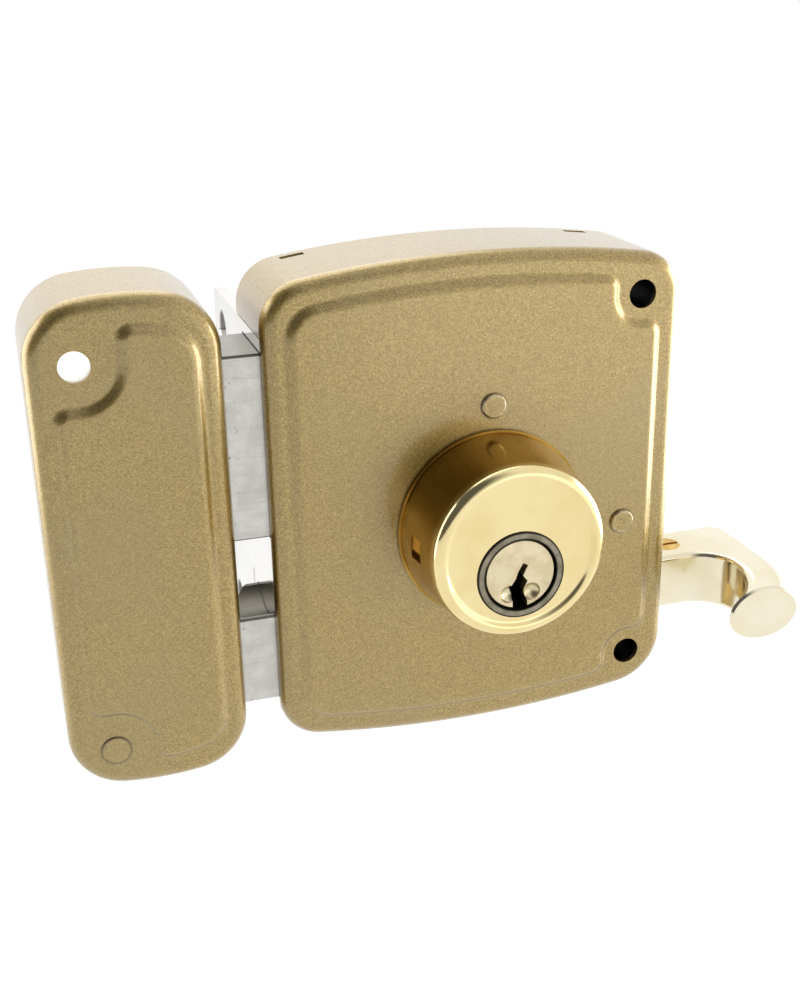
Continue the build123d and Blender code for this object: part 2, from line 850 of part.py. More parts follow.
def latch_section(x_span, gap):
    """The latch's section: a bar whose top is hollowed by a shallow trough along X."""
    front = bolt_front_y - gap
    back = bolt_back_y + gap
    top = latch_top + gap
    bottom = latch_bottom - gap
    margin = latch_trough_margin + 2 * gap
    trough_front = front + margin
    trough_back = back - margin
    middle = (trough_front + trough_back) / 2
    front_side = [(trough_front, top), (front, top), (front, bottom)]
    lines = Polyline(*front_side, (back, bottom), (back, top), (trough_back, top))
    trough = ThreePointArc((trough_back, top), (middle, top - latch_trough_depth), (trough_front, top))
    outline = make_face(lines + trough)
    plane = Plane.YZ.offset(x_span[0])
    return extrude(plane * outline, amount=x_span[1] - x_span[0])


def latch_head():
    """The latch's head. Its nose is bevelled on the door side, so the keeper pushes it in."""
    head = latch_section((latch_nose_x, latch_rear_x), 0)
    bevel = Polyline(
        (latch_nose_x - over, bolt_front_y + latch_nose_thickness),
        (latch_nose_x, bolt_front_y + latch_nose_thickness),
        (latch_nose_x + latch_nose_length, bolt_back_y),
        (latch_nose_x + latch_nose_length, bolt_back_y + over),
        (latch_nose_x - over, bolt_back_y + over),
        close=True,
    )
    wedge = extrude(make_face(bevel), amount=latch_height + 2 * over)
    head -= Pos(0, 0, latch_bottom - over) * wedge
    root_span = (latch_rear_x - slide_root, latch_rear_x + over)
    head -= block(root_span, (slide_front_y, slide_back_y), (slide_bottom, slide_top))
    bore_span = (latch_rear_x - spring_rod_bore_depth, latch_rear_x + over)
    head -= rod_along_x(handle_centre_y, spring_rod_z, spring_rod_radius + run_gap, bore_span)
    return head - latch_pin_rod(latch_pin_radius)


def latch_pin_rod(radius):
    y_span = (bolt_front_y + bolt_edge, bolt_back_y - bolt_edge)
    return rod_along_y(latch_rear_x - slide_root / 2, handle_centre_z, radius, y_span)


def latch_slide():
    x_span = (latch_rear_x - slide_root, slide_end_x)
    slide = block(x_span, (slide_front_y, slide_back_y), (slide_bottom, slide_top))
    z_span = (handle_bottom, handle_top)
    slide -= rod_along_z(handle_screw_x, handle_centre_y, handle_screw_radius, z_span)
    return slide - latch_pin_rod(latch_pin_radius)


def latch_bracket():
    """Guides the slide and holds the spring rod: an upright with a window, and a riveted foot."""
    upright_span = (bracket_x, bracket_x + bracket_thickness)
    z_span = (bracket_bottom, bracket_top)
    bracket = block(upright_span, (bracket_front_y, plate_front_y), z_span)
    foot_end = bracket_x + bracket_thickness + bracket_foot
    bracket += block((bracket_x, foot_end), (plate_front_y - bracket_thickness, plate_front_y), z_span)
    gap = slot_gap
    window_y = (slide_front_y - gap, slide_back_y + gap)
    bracket -= block((bracket_x - over, foot_end), window_y, (slide_bottom - gap, slide_top + gap))
    bracket -= rod_along_x(handle_centre_y, spring_rod_z, spring_rod_radius, upright_span)
    for x, z in bracket_rivet_places():
        bracket -= rod_along_y(x, z, bracket_rivet_radius, (bracket_front_y, 0))
    return bracket


def bracket_rivet_places():
    x = bracket_x + bracket_thickness + bracket_foot / 2
    inset = bracket_rivet_head_radius * 2
    return [(x, bracket_top - inset), (x, bracket_bottom + inset)]


def small_rivet(x, z, radius, head_radius, head_height, seat_y):
    stem = rod_along_y(x, z, radius - fit_gap, (seat_y, 0))
    return stem + rod_along_y(x, z, head_radius, (seat_y - head_height, seat_y))


def bracket_rivets():
    seat_y = plate_front_y - bracket_thickness
    sizes = (bracket_rivet_radius, bracket_rivet_head_radius, bracket_rivet_head_height)
    return [small_rivet(x, z, *sizes, seat_y) for x, z in bracket_rivet_places()]


def spring_rod():
    x_span = (latch_rear_x - spring_rod_insert, bracket_x + bracket_thickness)
    return rod_along_x(handle_centre_y, spring_rod_z, spring_rod_radius - fit_gap / 2, x_span)


def latch_spring():
    """The return spring, coiled on its rod between the latch's head and the bracket."""
    start = latch_rear_x + spring_end_gap + spring_wire_radius
    length = bracket_x - spring_end_gap - spring_wire_radius - start
    path = Helix(pitch=length / spring_turns, height=length, radius=spring_radius)
    section = Plane(path @ 0, z_dir=path % 0) * Circle(spring_wire_radius)
    coil = sweep(section, path=path, is_frenet=True)
    return Pos(start, handle_centre_y, spring_rod_z) * Rot(0, 90, 0) * coil


# Friction spring

def bow_rivet_place():
    return (bow_end_x + bow_foot / 2, bow_bottom + bow_width / 2)


def friction_spring():
    """A bowed leaf, riveted at one end, whose crown rubs on the back of the deadbolt's tail."""
    middle = (bow_start_x + bow_end_x) / 2
    crown = tail_plate_back_y + bow_gap
    seat = plate_front_y
    under = seat - bow_thickness
    outer = ThreePointArc((bow_start_x, under), (middle, crown), (bow_end_x, under))
    inner = ThreePointArc((bow_start_x, seat), (middle, crown + bow_thickness), (bow_end_x, seat))
    bow = make_face(outer + inner + Line(outer @ 0, inner @ 0) + Line(outer @ 1, inner @ 1))
    foot_end = bow_end_x + bow_foot
    leaf = Pos(0, 0, bow_bottom) * extrude(bow, amount=bow_width)
    leaf += block((bow_end_x, foot_end), (under, seat), (bow_bottom, bow_bottom + bow_width))
    return leaf - rod_along_y(*bow_rivet_place(), bow_rivet_radius, (under - over, 0))


def friction_spring_rivet():
    sizes = (bow_rivet_radius, bow_rivet_head_radius, bow_rivet_head_height)
    return small_rivet(*bow_rivet_place(), *sizes, plate_front_y - bow_thickness)


# Pull handle

def handle_base():
    """The stem out of the case and the bend, with the finger's hollow on its inner side."""
    stem = (handle_start_x, handle_outer_y)
    corner = (handle_outer_x, handle_outer_y)
    neck_outer = (handle_outer_x, handle_neck_y)
    neck_inner = (handle_neck_inner_x, handle_neck_y)
    scoop_start = (handle_inner_x, handle_front_wall_y)
    stem_front = (handle_start_x, handle_front_wall_y)
    lines = Polyline(scoop_start, stem_front, stem, corner, neck_outer, neck_inner)
    middle = handle_scoop_radius * math.sqrt(0.5)
    scoop_middle = (handle_inner_x + middle, handle_neck_y + middle)
    outline = make_face(lines + ThreePointArc(neck_inner, scoop_middle, scoop_start))
    outline = fillet(outline.vertices().sort_by_distance(corner)[0], handle_outer_round)
    base = Pos(0, 0, handle_bottom) * extrude(outline, amount=handle_section)
    edges = [edge for edge in base.edges().filter_by(Axis.Z, reverse=True) if is_round_edge(edge)]
    return base.fillet(handle_edge_round, edges)


def is_round_edge(edge):
    middle = edge @ 0.5
    inside = abs(middle.X - handle_start_x) < fit_gap or abs(middle.Y - handle_neck_y) < fit_gap
    return not inside


def handle_station(y, width, corner):
    place = Plane.XZ.offset(-y) * Pos(handle_outer_x - width / 2, handle_centre_z)
    return place * RectangleRounded(width, handle_section, corner)


def handle_oval(y, inset):
    """The oval of the end, drawn as eight arcs so that it meets the eight edges of a station."""
    half_width = handle_end_width / 2 - inset
    half_height = handle_end_height / 2 - inset
    arcs = []
    for quarter in range(4):
        middle = 90 * quarter
        for centre, turn in ((middle, handle_flat_arc), (middle + 45, 90 - handle_flat_arc)):
            start = (centre - turn / 2) % 360
            arcs.append(EllipticalCenterArc((0, 0), half_width, half_height, start, arc_size=turn))
    place = Pos(handle_outer_x + handle_end_overhang - handle_end_width / 2, handle_centre_z)
    return Plane.XZ.offset(-y) * place * make_face(arcs)


def pull_handle():
    """The brass pull: stem, bend and a neck that flares into the oval end."""
    neck = handle_station(handle_neck_y, handle_neck, handle_edge_round)
    middle = handle_station(handle_mid_y, handle_mid_width, handle_mid_round)
    rim_of_end = handle_oval(handle_front_y + handle_end_round, 0)
    face_of_end = handle_oval(handle_front_y, handle_end_bevel)
    flare = loft([neck, middle, rim_of_end])
    handle = handle_base() + flare + loft([rim_of_end, face_of_end], ruled=True)
    socket_span = (handle_start_x - over, slide_end_x)
    handle -= block(socket_span, (slide_front_y, slide_back_y), (slide_bottom, slide_top))
    z_span = (handle_bottom - over, handle_top + over)
    handle -= rod_along_z(handle_screw_x, handle_centre_y, handle_screw_radius, z_span)
    return handle - screw_cone(handle_screw_radius, handle_screw_head_radius + fit_gap)


def screw_cone(low_radius, top_radius):
    """The countersunk head's cone, flush with the handle's top."""
    half = handle_screw_head_height / 2
    cone = Cone(low_radius, top_radius, handle_screw_head_height)
    return Pos(handle_screw_x, handle_centre_y, handle_top - half) * cone


def handle_screw():
    radius = handle_screw_radius - fit_gap
    stem = rod_along_z(handle_screw_x, handle_centre_y, radius, (handle_bottom, handle_top))
    return stem + screw_cone(radius, handle_screw_head_radius)


# Keeper

def keeper_outline():
    outline = arched_outline(keeper_width, keeper_height, keeper_arch_rise, keeper_corner, keeper_corner)
    return Pos(keeper_centre_x, keeper_centre_z) * outline


def keeper_panel(inset):
    """The keeper's raised panel. It turns aside for the screw and for the blank hole."""
    width = keeper_width - 2 * keeper_rim
    height = keeper_height - 2 * keeper_rim_top
    rise = rise_drawn_in(width, keeper_arch_rise, inset)
    corner = min(keeper_panel_corner, keeper_room * keeper_corner_share) - inset
    blend = min(keeper_notch_blend, keeper_room * keeper_blend_share) - inset
    outline = arched_outline(width - 2 * inset, height - 2 * inset, rise, corner, corner)
    outline = Pos(keeper_centre_x, keeper_centre_z) * outline
    reach = keeper_corner + keeper_rim_top
    radius = keeper_notch_radius + inset
    bites = corner_notch(keeper_screw_x, keeper_screw_z, radius, -1, 1, reach)
    bites += corner_notch(keeper_screw_x, knockout_z, radius, -1, -1, reach)
    return blend_bite(outline, bites, blend)


def bolt_mouths(x_span, front_y, gap):
    y_span = (front_y, bolt_back_y + gap)
    upper = block(x_span, y_span, (deadbolt_bottom - gap, deadbolt_top + gap))
    return upper + block(x_span, y_span, (latch_bottom - gap, latch_top + gap))


def keeper_cover():
    cover = pressed_shell(keeper_outline(), keeper_panel, panel_y)
    cover -= rod_along_y(keeper_screw_x, keeper_screw_z, door_screw_radius, (panel_y - over, 0))
    knockout_span = (rim_y - knockout_raise, rim_y + sheet / 2)
    cover += rod_along_y(keeper_screw_x, knockout_z, door_screw_radius, knockout_span)
    mouth_span = (keeper_right - keeper_corner, keeper_right + over)
    return cover - bolt_mouths(mouth_span, seam_y, keeper_mouth_gap)


def keeper_inside(back_y, front_y):
    return slab(offset(keeper_outline(), -(sheet + plate_gap)), back_y, front_y)


def keeper_strike():
    """The steel plate that stands inside the keeper's right wall, with the two mouths."""
    strike_x = keeper_right - edge_round - plate_gap
    strike_z = (latch_bottom - strike_margin, deadbolt_top + strike_margin)
    x_span = (strike_x - strike_thickness, strike_x)
    mouth_front_y = bolt_front_y - strike_mouth_gap
    front_y = mouth_front_y - strike_mouth_gap
    strike = block(x_span, (front_y, plate_front_y), strike_z) & keeper_inside(0, front_y)
    cut_span = (strike_x - strike_thickness - over, strike_x + over)
    return strike - bolt_mouths(cut_span, mouth_front_y, strike_mouth_gap)


def keeper_base():
    plate = keeper_inside(0, plate_front_y)
    for z in (keeper_screw_z, knockout_z):
        plate -= rod_along_y(keeper_screw_x, z, door_screw_radius, (plate_front_y - over, over))
    return plate


def keeper_sleeve():
    return screw_sleeve(keeper_screw_x, keeper_screw_z, (rim_inner_y, plate_front_y))


def write(name, shape):
    solids = shape if isinstance(shape, list) else [shape]
    pieces = [solid for item in solids for solid in item.solids()]
    whole = pieces[0] if len(pieces) == 1 else Compound(children=pieces)
    export_step(whole, f"parts/{name}.step")
    print(name, len(pieces), round(sum(piece.volume for piece in pieces), 1))


def main():
    os.makedirs("parts", exist_ok=True)
    cover = case_cover()
    write("case_front", front_of(cover, case_outline()))
    write("case_walls", walls_of(cover, case_outline()))
    write("back_plate", back_plate())
    write("forend", forend())
    write("upper_pillar", pillar(upper_pillar_x, upper_pillar_z))
    write("side_pillar", pillar(side_pillar_x, side_pillar_z))
    write("screw_sleeves", screw_sleeves())
    write("cylinder_collar", cylinder_collar())
    write("cylinder_flange", cylinder_flange())
    write("cylinder_body", cylinder_body())
    write("chamber_cap", chamber_strip(0))
    write("driver_pins", driver_pins())
    write("collar_screws", [collar_screw(x, z) for x, z in collar_screw_places()])
    write("key_plug", key_plug())
    write("key_pins", key_pins())
    write("plug_spacer", plug_spacer())
    write("drive_cam", drive_cam())
    write("cam_clip", cam_clip())
    write("deadbolt_head", deadbolt_head())
    write("deadbolt_tail", deadbolt_tail())
    write("deadbolt_dowels", deadbolt_dowels())
    write("friction_spring", friction_spring())
    write("friction_spring_rivet", friction_spring_rivet())
    write("latch_head", latch_head())
    write("latch_slide", latch_slide())
    write("latch_pin", latch_pin_rod(latch_pin_radius - fit_gap))
    write("latch_bracket", latch_bracket())
    write("bracket_rivets", bracket_rivets())
    write("spring_rod", spring_rod())
    write("latch_spring", latch_spring())
    write("pull_handle", pull_handle())
    write("handle_screw", handle_screw())
    cover = keeper_cover()
    write("keeper_front", front_of(cover, keeper_outline()))
    write("keeper_walls", walls_of(cover, keeper_outline()))
    write("keeper_base", keeper_base())
    write("keeper_strike", keeper_strike())
    write("keeper_sleeve", keeper_sleeve())


main()
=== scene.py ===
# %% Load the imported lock
import math

import bmesh
import bpy
from mathutils import Matrix, Vector


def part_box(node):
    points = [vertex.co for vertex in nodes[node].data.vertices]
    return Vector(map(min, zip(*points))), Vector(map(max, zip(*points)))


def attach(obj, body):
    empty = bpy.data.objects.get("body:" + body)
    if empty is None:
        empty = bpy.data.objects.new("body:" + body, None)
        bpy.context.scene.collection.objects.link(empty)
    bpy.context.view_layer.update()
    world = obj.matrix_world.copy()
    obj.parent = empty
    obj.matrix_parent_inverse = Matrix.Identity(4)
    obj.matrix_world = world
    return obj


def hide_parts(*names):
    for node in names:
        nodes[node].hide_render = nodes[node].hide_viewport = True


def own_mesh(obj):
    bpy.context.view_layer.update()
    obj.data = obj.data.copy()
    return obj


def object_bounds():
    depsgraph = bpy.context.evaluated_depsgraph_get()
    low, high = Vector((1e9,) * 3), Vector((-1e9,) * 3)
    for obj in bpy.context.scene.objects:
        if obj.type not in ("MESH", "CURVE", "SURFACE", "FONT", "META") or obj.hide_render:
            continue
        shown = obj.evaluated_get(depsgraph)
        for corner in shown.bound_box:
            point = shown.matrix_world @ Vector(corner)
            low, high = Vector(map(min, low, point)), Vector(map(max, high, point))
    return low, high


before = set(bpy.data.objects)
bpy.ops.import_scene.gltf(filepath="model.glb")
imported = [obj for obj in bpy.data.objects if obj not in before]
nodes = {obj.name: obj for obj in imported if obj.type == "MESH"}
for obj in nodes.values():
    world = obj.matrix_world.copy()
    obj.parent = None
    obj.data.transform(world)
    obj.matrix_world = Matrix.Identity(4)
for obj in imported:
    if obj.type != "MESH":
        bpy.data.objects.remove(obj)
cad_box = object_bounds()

# %% [markdown]
# # Dressing a rim lock
# The lock, with all its moving pieces, comes packed from CAD at its true size.
# Here it gets its paint, its polished brass, its steel and a studio, and the
# few small forms that CAD leaves out.
# X runs from the keeper to the pull handle, Y into the door, Z up. The origin
# is on the key's axis, in the plane of the door.

# %% Units, and the pieces that CAD hands over
MM = 0.001
print(len(nodes), "nodes in the frame:", ", ".join(sorted(nodes)))


def middle_of(node):
    """The centre of a CAD node's box, in metres."""
    low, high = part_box(node)
    return (Vector(low) + Vector(high)) / 2


# %% [markdown]
# ## The camera
# The camera stands a little to the left of the lock, above it and close, as
# the photographer's did. Its place, the way it looks and its lens come from
# the straight edges and circles of the photograph, so the render can be laid
# over the photo.

# %% The camera
CAMERA_PLACE = Vector((-101.5, -292.1, 122.8)) * MM
LOOKS_ALONG = Vector((0.2704, 0.8892, -0.3691))
CAMERA_UP = Vector((0.1264, 0.3473, 0.9292))
LENS_MM = 48.3
SENSOR_MM = 36
NEAREST_SEEN = 10 * MM

camera_data = bpy.data.cameras.new("photo_camera")
camera_data.lens = LENS_MM
camera_data.sensor_width = SENSOR_MM
camera_data.clip_start = NEAREST_SEEN
camera = bpy.data.objects.new("photo_camera", camera_data)
bpy.context.collection.objects.link(camera)
across = LOOKS_ALONG.cross(CAMERA_UP).normalized()
turned = Matrix((across, CAMERA_UP, -LOOKS_ALONG)).transposed()
camera.matrix_world = Matrix.Translation(CAMERA_PLACE) @ turned.to_4x4()
bpy.context.scene.camera = camera
print("camera at", tuple(round(value, 4) for value in CAMERA_PLACE))

# %% [markdown]
# ## A small language for materials
# A material is a tree of nodes. Written out node by node it is long and hard
# to read, so one class stands for a socket and lets Python's own + - * and **
# build the Math nodes. A second class holds a tree and has one method that adds
# any other node: first its settings, then the values or links of its sockets.

# %% One socket, with Python's arithmetic
class Shade:
    """A socket of a tree. Arithmetic on it adds Math nodes."""

    def __init__(self, tree, socket):
        self.tree = tree
        self.socket = socket

    def maths(self, operation, *values):
        settings = {"operation": operation}
        return self.tree.add("ShaderNodeMath", settings, dict(enumerate(values)))

    def __add__(self, other):
        return self.maths("ADD", self, other)

    def __radd__(self, other):
        return self.maths("ADD", other, self)

    def __sub__(self, other):
        return self.maths("SUBTRACT", self, other)

    def __rsub__(self, other):
        return self.maths("SUBTRACT", other, self)

    def __mul__(self, other):
        return self.maths("MULTIPLY", self, other)

    def __rmul__(self, other):
        return self.maths("MULTIPLY", other, self)

    def __pow__(self, other):
        return self.maths("POWER", self, other)

    def __abs__(self):
        return self.maths("ABSOLUTE", self)

    def rises(self, low, high):
        """0 below low, 1 above high, and smooth between."""
        settings = {"interpolation_type": "SMOOTHSTEP"}
        values = {"Value": self, "From Min": low, "From Max": high}
        return self.tree.add("ShaderNodeMapRange", settings, values)

    def falls(self, low, high):
        """1 below low, 0 above high, and smooth between."""
        return 1 - self.rises(low, high)


# %% One tree, with one method that adds a node
class Tree:
    """The node tree of a material or of the world, in the making."""

    def __init__(self, owner):
        owner.use_nodes = True
        self.links = owner.node_tree.links
        self.nodes = owner.node_tree.nodes

    def plug(self, socket, value):
        if isinstance(value, Shade):
            self.links.new(value.socket, socket)
        else:
            socket.default_value = value

    def add(self, kind, settings=None, inputs=None, output=0):
        node = self.nodes.new(kind)
        for name, value in (settings or {}).items():
            setattr(node, name, value)
        for key, value in (inputs or {}).items():
            self.plug(node.inputs[key], value)
        return Shade(self, node.outputs[output])


# %% One finish
class Finish(Tree):
    """A material with its Principled shader and its patterns."""

    def __init__(self, name, metallic=1.0, roughness=0.3, **constants):
        self.material = bpy.data.materials.new(name)
        super().__init__(self.material)
        self.shader = self.nodes["Principled BSDF"]
        self.wear({"Metallic": metallic, "Roughness": roughness})
        self.wear({key.replace("_", " "): value for key, value in constants.items()})
        self.here = self.add("ShaderNodeTexCoord", output="Object")
        self.normal = None

    def wear(self, sockets):
        for name, value in sockets.items():
            self.plug(self.shader.inputs[name], value)

    def stretched(self, x, y, z):
        """The place on the object, with each axis scaled."""
        return self.add("ShaderNodeMapping", None, {"Vector": self.here, "Scale": (x, y, z)})

    def noise(self, size, detail=2.0, roughness=0.5, place=None):
        """Soft noise whose lumps are about size metres across."""
        values = {"Vector": place or self.here, "Scale": 1 / size}
        values.update({"Detail": detail, "Roughness": roughness})
        return self.add("ShaderNodeTexNoise", None, values)

    def cells(self, size, output="Distance", place=None):
        """Random cells about size metres across."""
        values = {"Vector": place or self.here, "Scale": 1 / size}
        return self.add("ShaderNodeTexVoronoi", None, values, output)

    def brightness_of(self, colour):
        return self.add("ShaderNodeRGBToBW", None, {0: colour})

    def axis(self, index, centre=0.0):
        """How far the place is from centre along X, Y or Z."""
        return self.add("ShaderNodeSeparateXYZ", None, {0: self.here}, index) - centre

    def from_axis(self, centre):
        """How far the place is from an axis along Y that runs through centre."""
        x = self.axis(0, centre.x)
        z = self.axis(2, centre.z)
        return (x * x + z * z) ** 0.5

    def mix(self, share, first, second):
        """first where share is 0, second where it is 1."""
        settings = {"data_type": "RGBA"}
        return self.add("ShaderNodeMix", settings, {0: share, 6: first, 7: second}, 2)

    def bump(self, height, depth, strength=1.0):
        """Adds relief. depth is in metres, for a height of 1."""
        values = {"Height": height, "Distance": depth, "Strength": strength}
        if self.normal is not None:
            values["Normal"] = self.normal
        self.normal = self.add("ShaderNodeBump", None, values)
        self.wear({"Normal": self.normal})


# %% Colours, and putting a finish on a piece
def seen(red, green, blue):
    """A colour as it is read off a screen, 0 to 255, for Blender's linear light."""
    shares = [value / 255 for value in (red, green, blue)]
    linear = [s / 12.92 if s < 0.04045 else ((s + 0.055) / 1.055) ** 2.4 for s in shares]
    return (*linear, 1.0)


def dress(finish, *names):
    """Gives a CAD node's object a finish."""
    for name in names:
        piece = nodes[name]
        if not piece.material_slots:
            piece.data.materials.append(finish.material)
        for slot in piece.material_slots:
            slot.material = finish.material
    print(finish.material.name, "on", ", ".join(names))


# %% [markdown]
# ## The paint of the case and the keeper
# Both covers are pressed from sheet and sprayed with a champagne gold that
# holds fine metal flakes, under a clear coat. From a step away it is one soft
# tan. Close by it sparkles: every flake lies at its own angle. The flakes are
# small Voronoi cells, each with its own brightness, and a finer noise breaks
# them up. A broad noise stands for the uneven thickness of the spray, and a
# very low relief for the orange peel that a spray gun leaves. The clear coat
# mirrors the bright room on the walls, which the camera sees at a low angle.

# %% The champagne paint
CLEAR_COAT = {"Coat_Weight": 0.9, "Coat_IOR": 1.7, "Coat_Roughness": 0.16}
FLAKE = 0.26 * MM
FLAKE_RELIEF = 0.009 * MM
PEEL = 1.7 * MM
PEEL_RELIEF = 0.012 * MM
PAINT_LIGHT = seen(197, 172, 106)
PAINT_MID = seen(172, 147, 82)
PAINT_DARK = seen(142, 117, 57)
DUSTY = seen(154, 138, 95)


def champagne_paint(name):
    paint = Finish(name, metallic=0.85, **CLEAR_COAT)
    flake = paint.brightness_of(paint.cells(FLAKE, "Color"))
    grain = paint.noise(0.42 * MM, detail=3, roughness=0.6)
    coat = paint.noise(42 * MM, detail=2)
    sparkle = flake * 0.5 + grain * 0.5
    colour = paint.mix(sparkle.rises(0.30, 0.60), PAINT_DARK, PAINT_MID)
    colour = paint.mix(sparkle.rises(0.56, 0.78) * 0.8, colour, PAINT_LIGHT)
    colour = paint.mix(coat.rises(0.4, 0.7) * 0.35, colour, DUSTY)
    paint.wear({"Base Color": colour})
    paint.wear({"Roughness": 0.30 + 0.14 * grain + 0.06 * coat})
    paint.bump(sparkle, FLAKE_RELIEF)
    paint.bump(paint.noise(PEEL, detail=1), PEEL_RELIEF)
    return paint


case_paint = champagne_paint("champagne_paint")
dress(case_paint, "case_walls", "keeper_walls")

# %% [markdown]
# ## Painted shade and dust round the rivets and the disc
# Two pillars are riveted through the case's front after it is painted, and
# the keeper's lower screw place is a disc that was pressed but not knocked
# out. The fronts wear the same paint with a darker ring at each of those
# places, laid by the distance from the rivet's or the disc's axis: painted
# shade in the thin crevice round each, with some dust.

# %% The painted fronts
RIVET_HEAD = 2.85 * MM
KNOCKOUT_RADIUS = 3.25 * MM
KNOCKOUT_PLACE = Vector((-88.0, 0.0, -37.6)) * MM
RING_WIDTH = 0.5 * MM
SHADE_AND_GRIME = seen(84, 70, 42)


def worn_colour(finish):
    """What already feeds a finish's colour, so that more can be laid over it."""
    return Shade(finish, finish.shader.inputs["Base Color"].links[0].from_socket)


def ringed_paint(name, places):
    """The paint, with a ring of painted shade and grime round each place's centre and radius.
    """
    paint = champagne_paint(name)
    colour = worn_colour(paint)
    for centre, radius in places:
        near = abs(paint.from_axis(centre) - radius).falls(0.15 * RING_WIDTH, RING_WIDTH)
        # A darker ring of painted shade round each rivet head and the disc, with some grime.
        colour = paint.mix(near * 0.6, colour, SHADE_AND_GRIME)
    paint.wear({"Base Color": colour})
    return paint


rivets = [(middle_of(name), RIVET_HEAD) for name in ("upper_pillar", "side_pillar")]
dress(ringed_paint("case_front_paint", rivets), "case_front")
dress(ringed_paint("keeper_front_paint", [(KNOCKOUT_PLACE, KNOCKOUT_RADIUS)]), "keeper_front")

# %% [markdown]
# ## The pillars and their rivet heads
# A pillar is turned steel with a small head that is peened over the cover. The
# heads were sprayed with the cover, and the riveting tool rubbed the paint
# thin at their rims, where a cooler metal shows.

# %% The riveted pillars
HEAD_DEPTH = 2.0 * MM
head_paint = champagne_paint("rivet_head_paint")
painted = worn_colour(head_paint)
from_rivet = [head_paint.from_axis(centre) for centre, radius in rivets]
nearest = from_rivet[0].maths("MINIMUM", from_rivet[0], from_rivet[1])
at_rim = nearest.rises(RIVET_HEAD - 0.9 * MM, RIVET_HEAD - 0.3 * MM)
rubbed = at_rim * head_paint.noise(0.8 * MM).rises(0.4, 0.6)
from_top = head_paint.axis(1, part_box("upper_pillar")[0][1])
behind = from_top.rises(HEAD_DEPTH, HEAD_DEPTH + 0.2 * MM)
colour = head_paint.mix(rubbed * 0.6, painted, seen(202, 194, 168))
head_paint.wear({"Base Color": head_paint.mix(behind, colour, seen(168, 166, 160))})
dress(head_paint, "upper_pillar", "side_pillar")

# %% [markdown]
# ## Satin bolts
# The heads of deadbolt and latch are castings, ground and plated in a satin
# light grey. The plating bridges most pores, but some stay as dark pits, and
# the bolt's rubbing in its mouth leaves long scratches across. The pits are
# the cores of widely spaced Voronoi cells, and only some cells have one. The
# upper sides are painted darker, as painted shade, and a dark line of painted
# shadow lies along their front edges. The latch's trough is painted dark too,
# as painted shade in the hollow.

# %% The satin bolts
PORE_SPACING = 1.1 * MM
PORE_RELIEF = 0.06 * MM
# The width of the painted shadow along the bolts' front edges.
EDGE_SHADOW_BAND = (0.45 * MM, 0.6 * MM)
TROUGH_DEPTH = 3.0 * MM
bolt = Finish("satin_bolt", metallic=0.9, roughness=0.4)
speck = bolt.cells(PORE_SPACING).falls(0.12, 0.30)
some = bolt.brightness_of(bolt.cells(PORE_SPACING, "Color")).rises(0.42, 0.5)
crowd = bolt.noise(7 * MM, detail=2).rises(0.40, 0.54)
near_keeper = bolt.axis(0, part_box("keeper_strike")[1][0]).falls(1.5 * MM, 7.0 * MM)
pit = speck * some * crowd * (0.1 + 0.9 * near_keeper)
cloud = bolt.noise(5 * MM, detail=5, roughness=0.6)
grain = bolt.noise(0.22 * MM, detail=2)
drag = bolt.noise(0.5 * MM, detail=3, place=bolt.stretched(0.06, 1, 1)).rises(0.58, 0.70)
colour = bolt.mix(cloud.rises(0.35, 0.7), seen(196, 193, 187), seen(212, 210, 205))
colour = bolt.mix(drag * 0.18, colour, seen(150, 146, 138))
colour = bolt.mix(pit * 0.8, colour, seen(74, 69, 62))
shaded_tops = [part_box(name)[1][2] for name in ("deadbolt_head", "latch_head")]
bolt_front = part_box("deadbolt_head")[0][1]
for top in shaded_tops:
    height = abs(bolt.axis(2, top))
    # The top is painted darker: painted shade.
    colour = bolt.mix(height.falls(0.1 * MM, 0.3 * MM) * 0.75, colour, seen(126, 124, 116))
    edge_shadow = height.falls(*EDGE_SHADOW_BAND) * bolt.axis(1, bolt_front).falls(*EDGE_SHADOW_BAND)
    # A dark line of painted shadow along the top's front edge.
    colour = bolt.mix(edge_shadow * 0.8, colour, seen(48, 44, 40))
# The latch's trough is painted dark: painted shade in the hollow.
below_latch_top = bolt.axis(2, shaded_tops[1])
above_floor = below_latch_top.rises(-TROUGH_DEPTH - 0.4 * MM, -TROUGH_DEPTH)
under_rim = below_latch_top.falls(0.3 * MM, 0.5 * MM)
trough_shade = above_floor * under_rim * bolt.axis(1, bolt_front).rises(0.8 * MM, 1.3 * MM)
colour = bolt.mix(trough_shade * 0.85, colour, seen(92, 88, 76))
bolt.wear({"Base Color": colour})
bolt.wear({"Roughness": 0.34 + 0.12 * grain + 0.25 * pit})
bolt.bump(grain * 0.35 - pit, PORE_RELIEF)
print("a pore every", round(PORE_SPACING / MM, 1), "mm")
dress(bolt, "deadbolt_head", "latch_head")

# %% [markdown]
# ## The polished plate on the door's edge
# This plate is buffed until it mirrors the room. What tells it from chrome on
# plastic are the very fine lines that the buffing wheel leaves along the
# plate: noise that is stretched a hundred times along Z. Its two countersunk
# screw holes are painted darker.

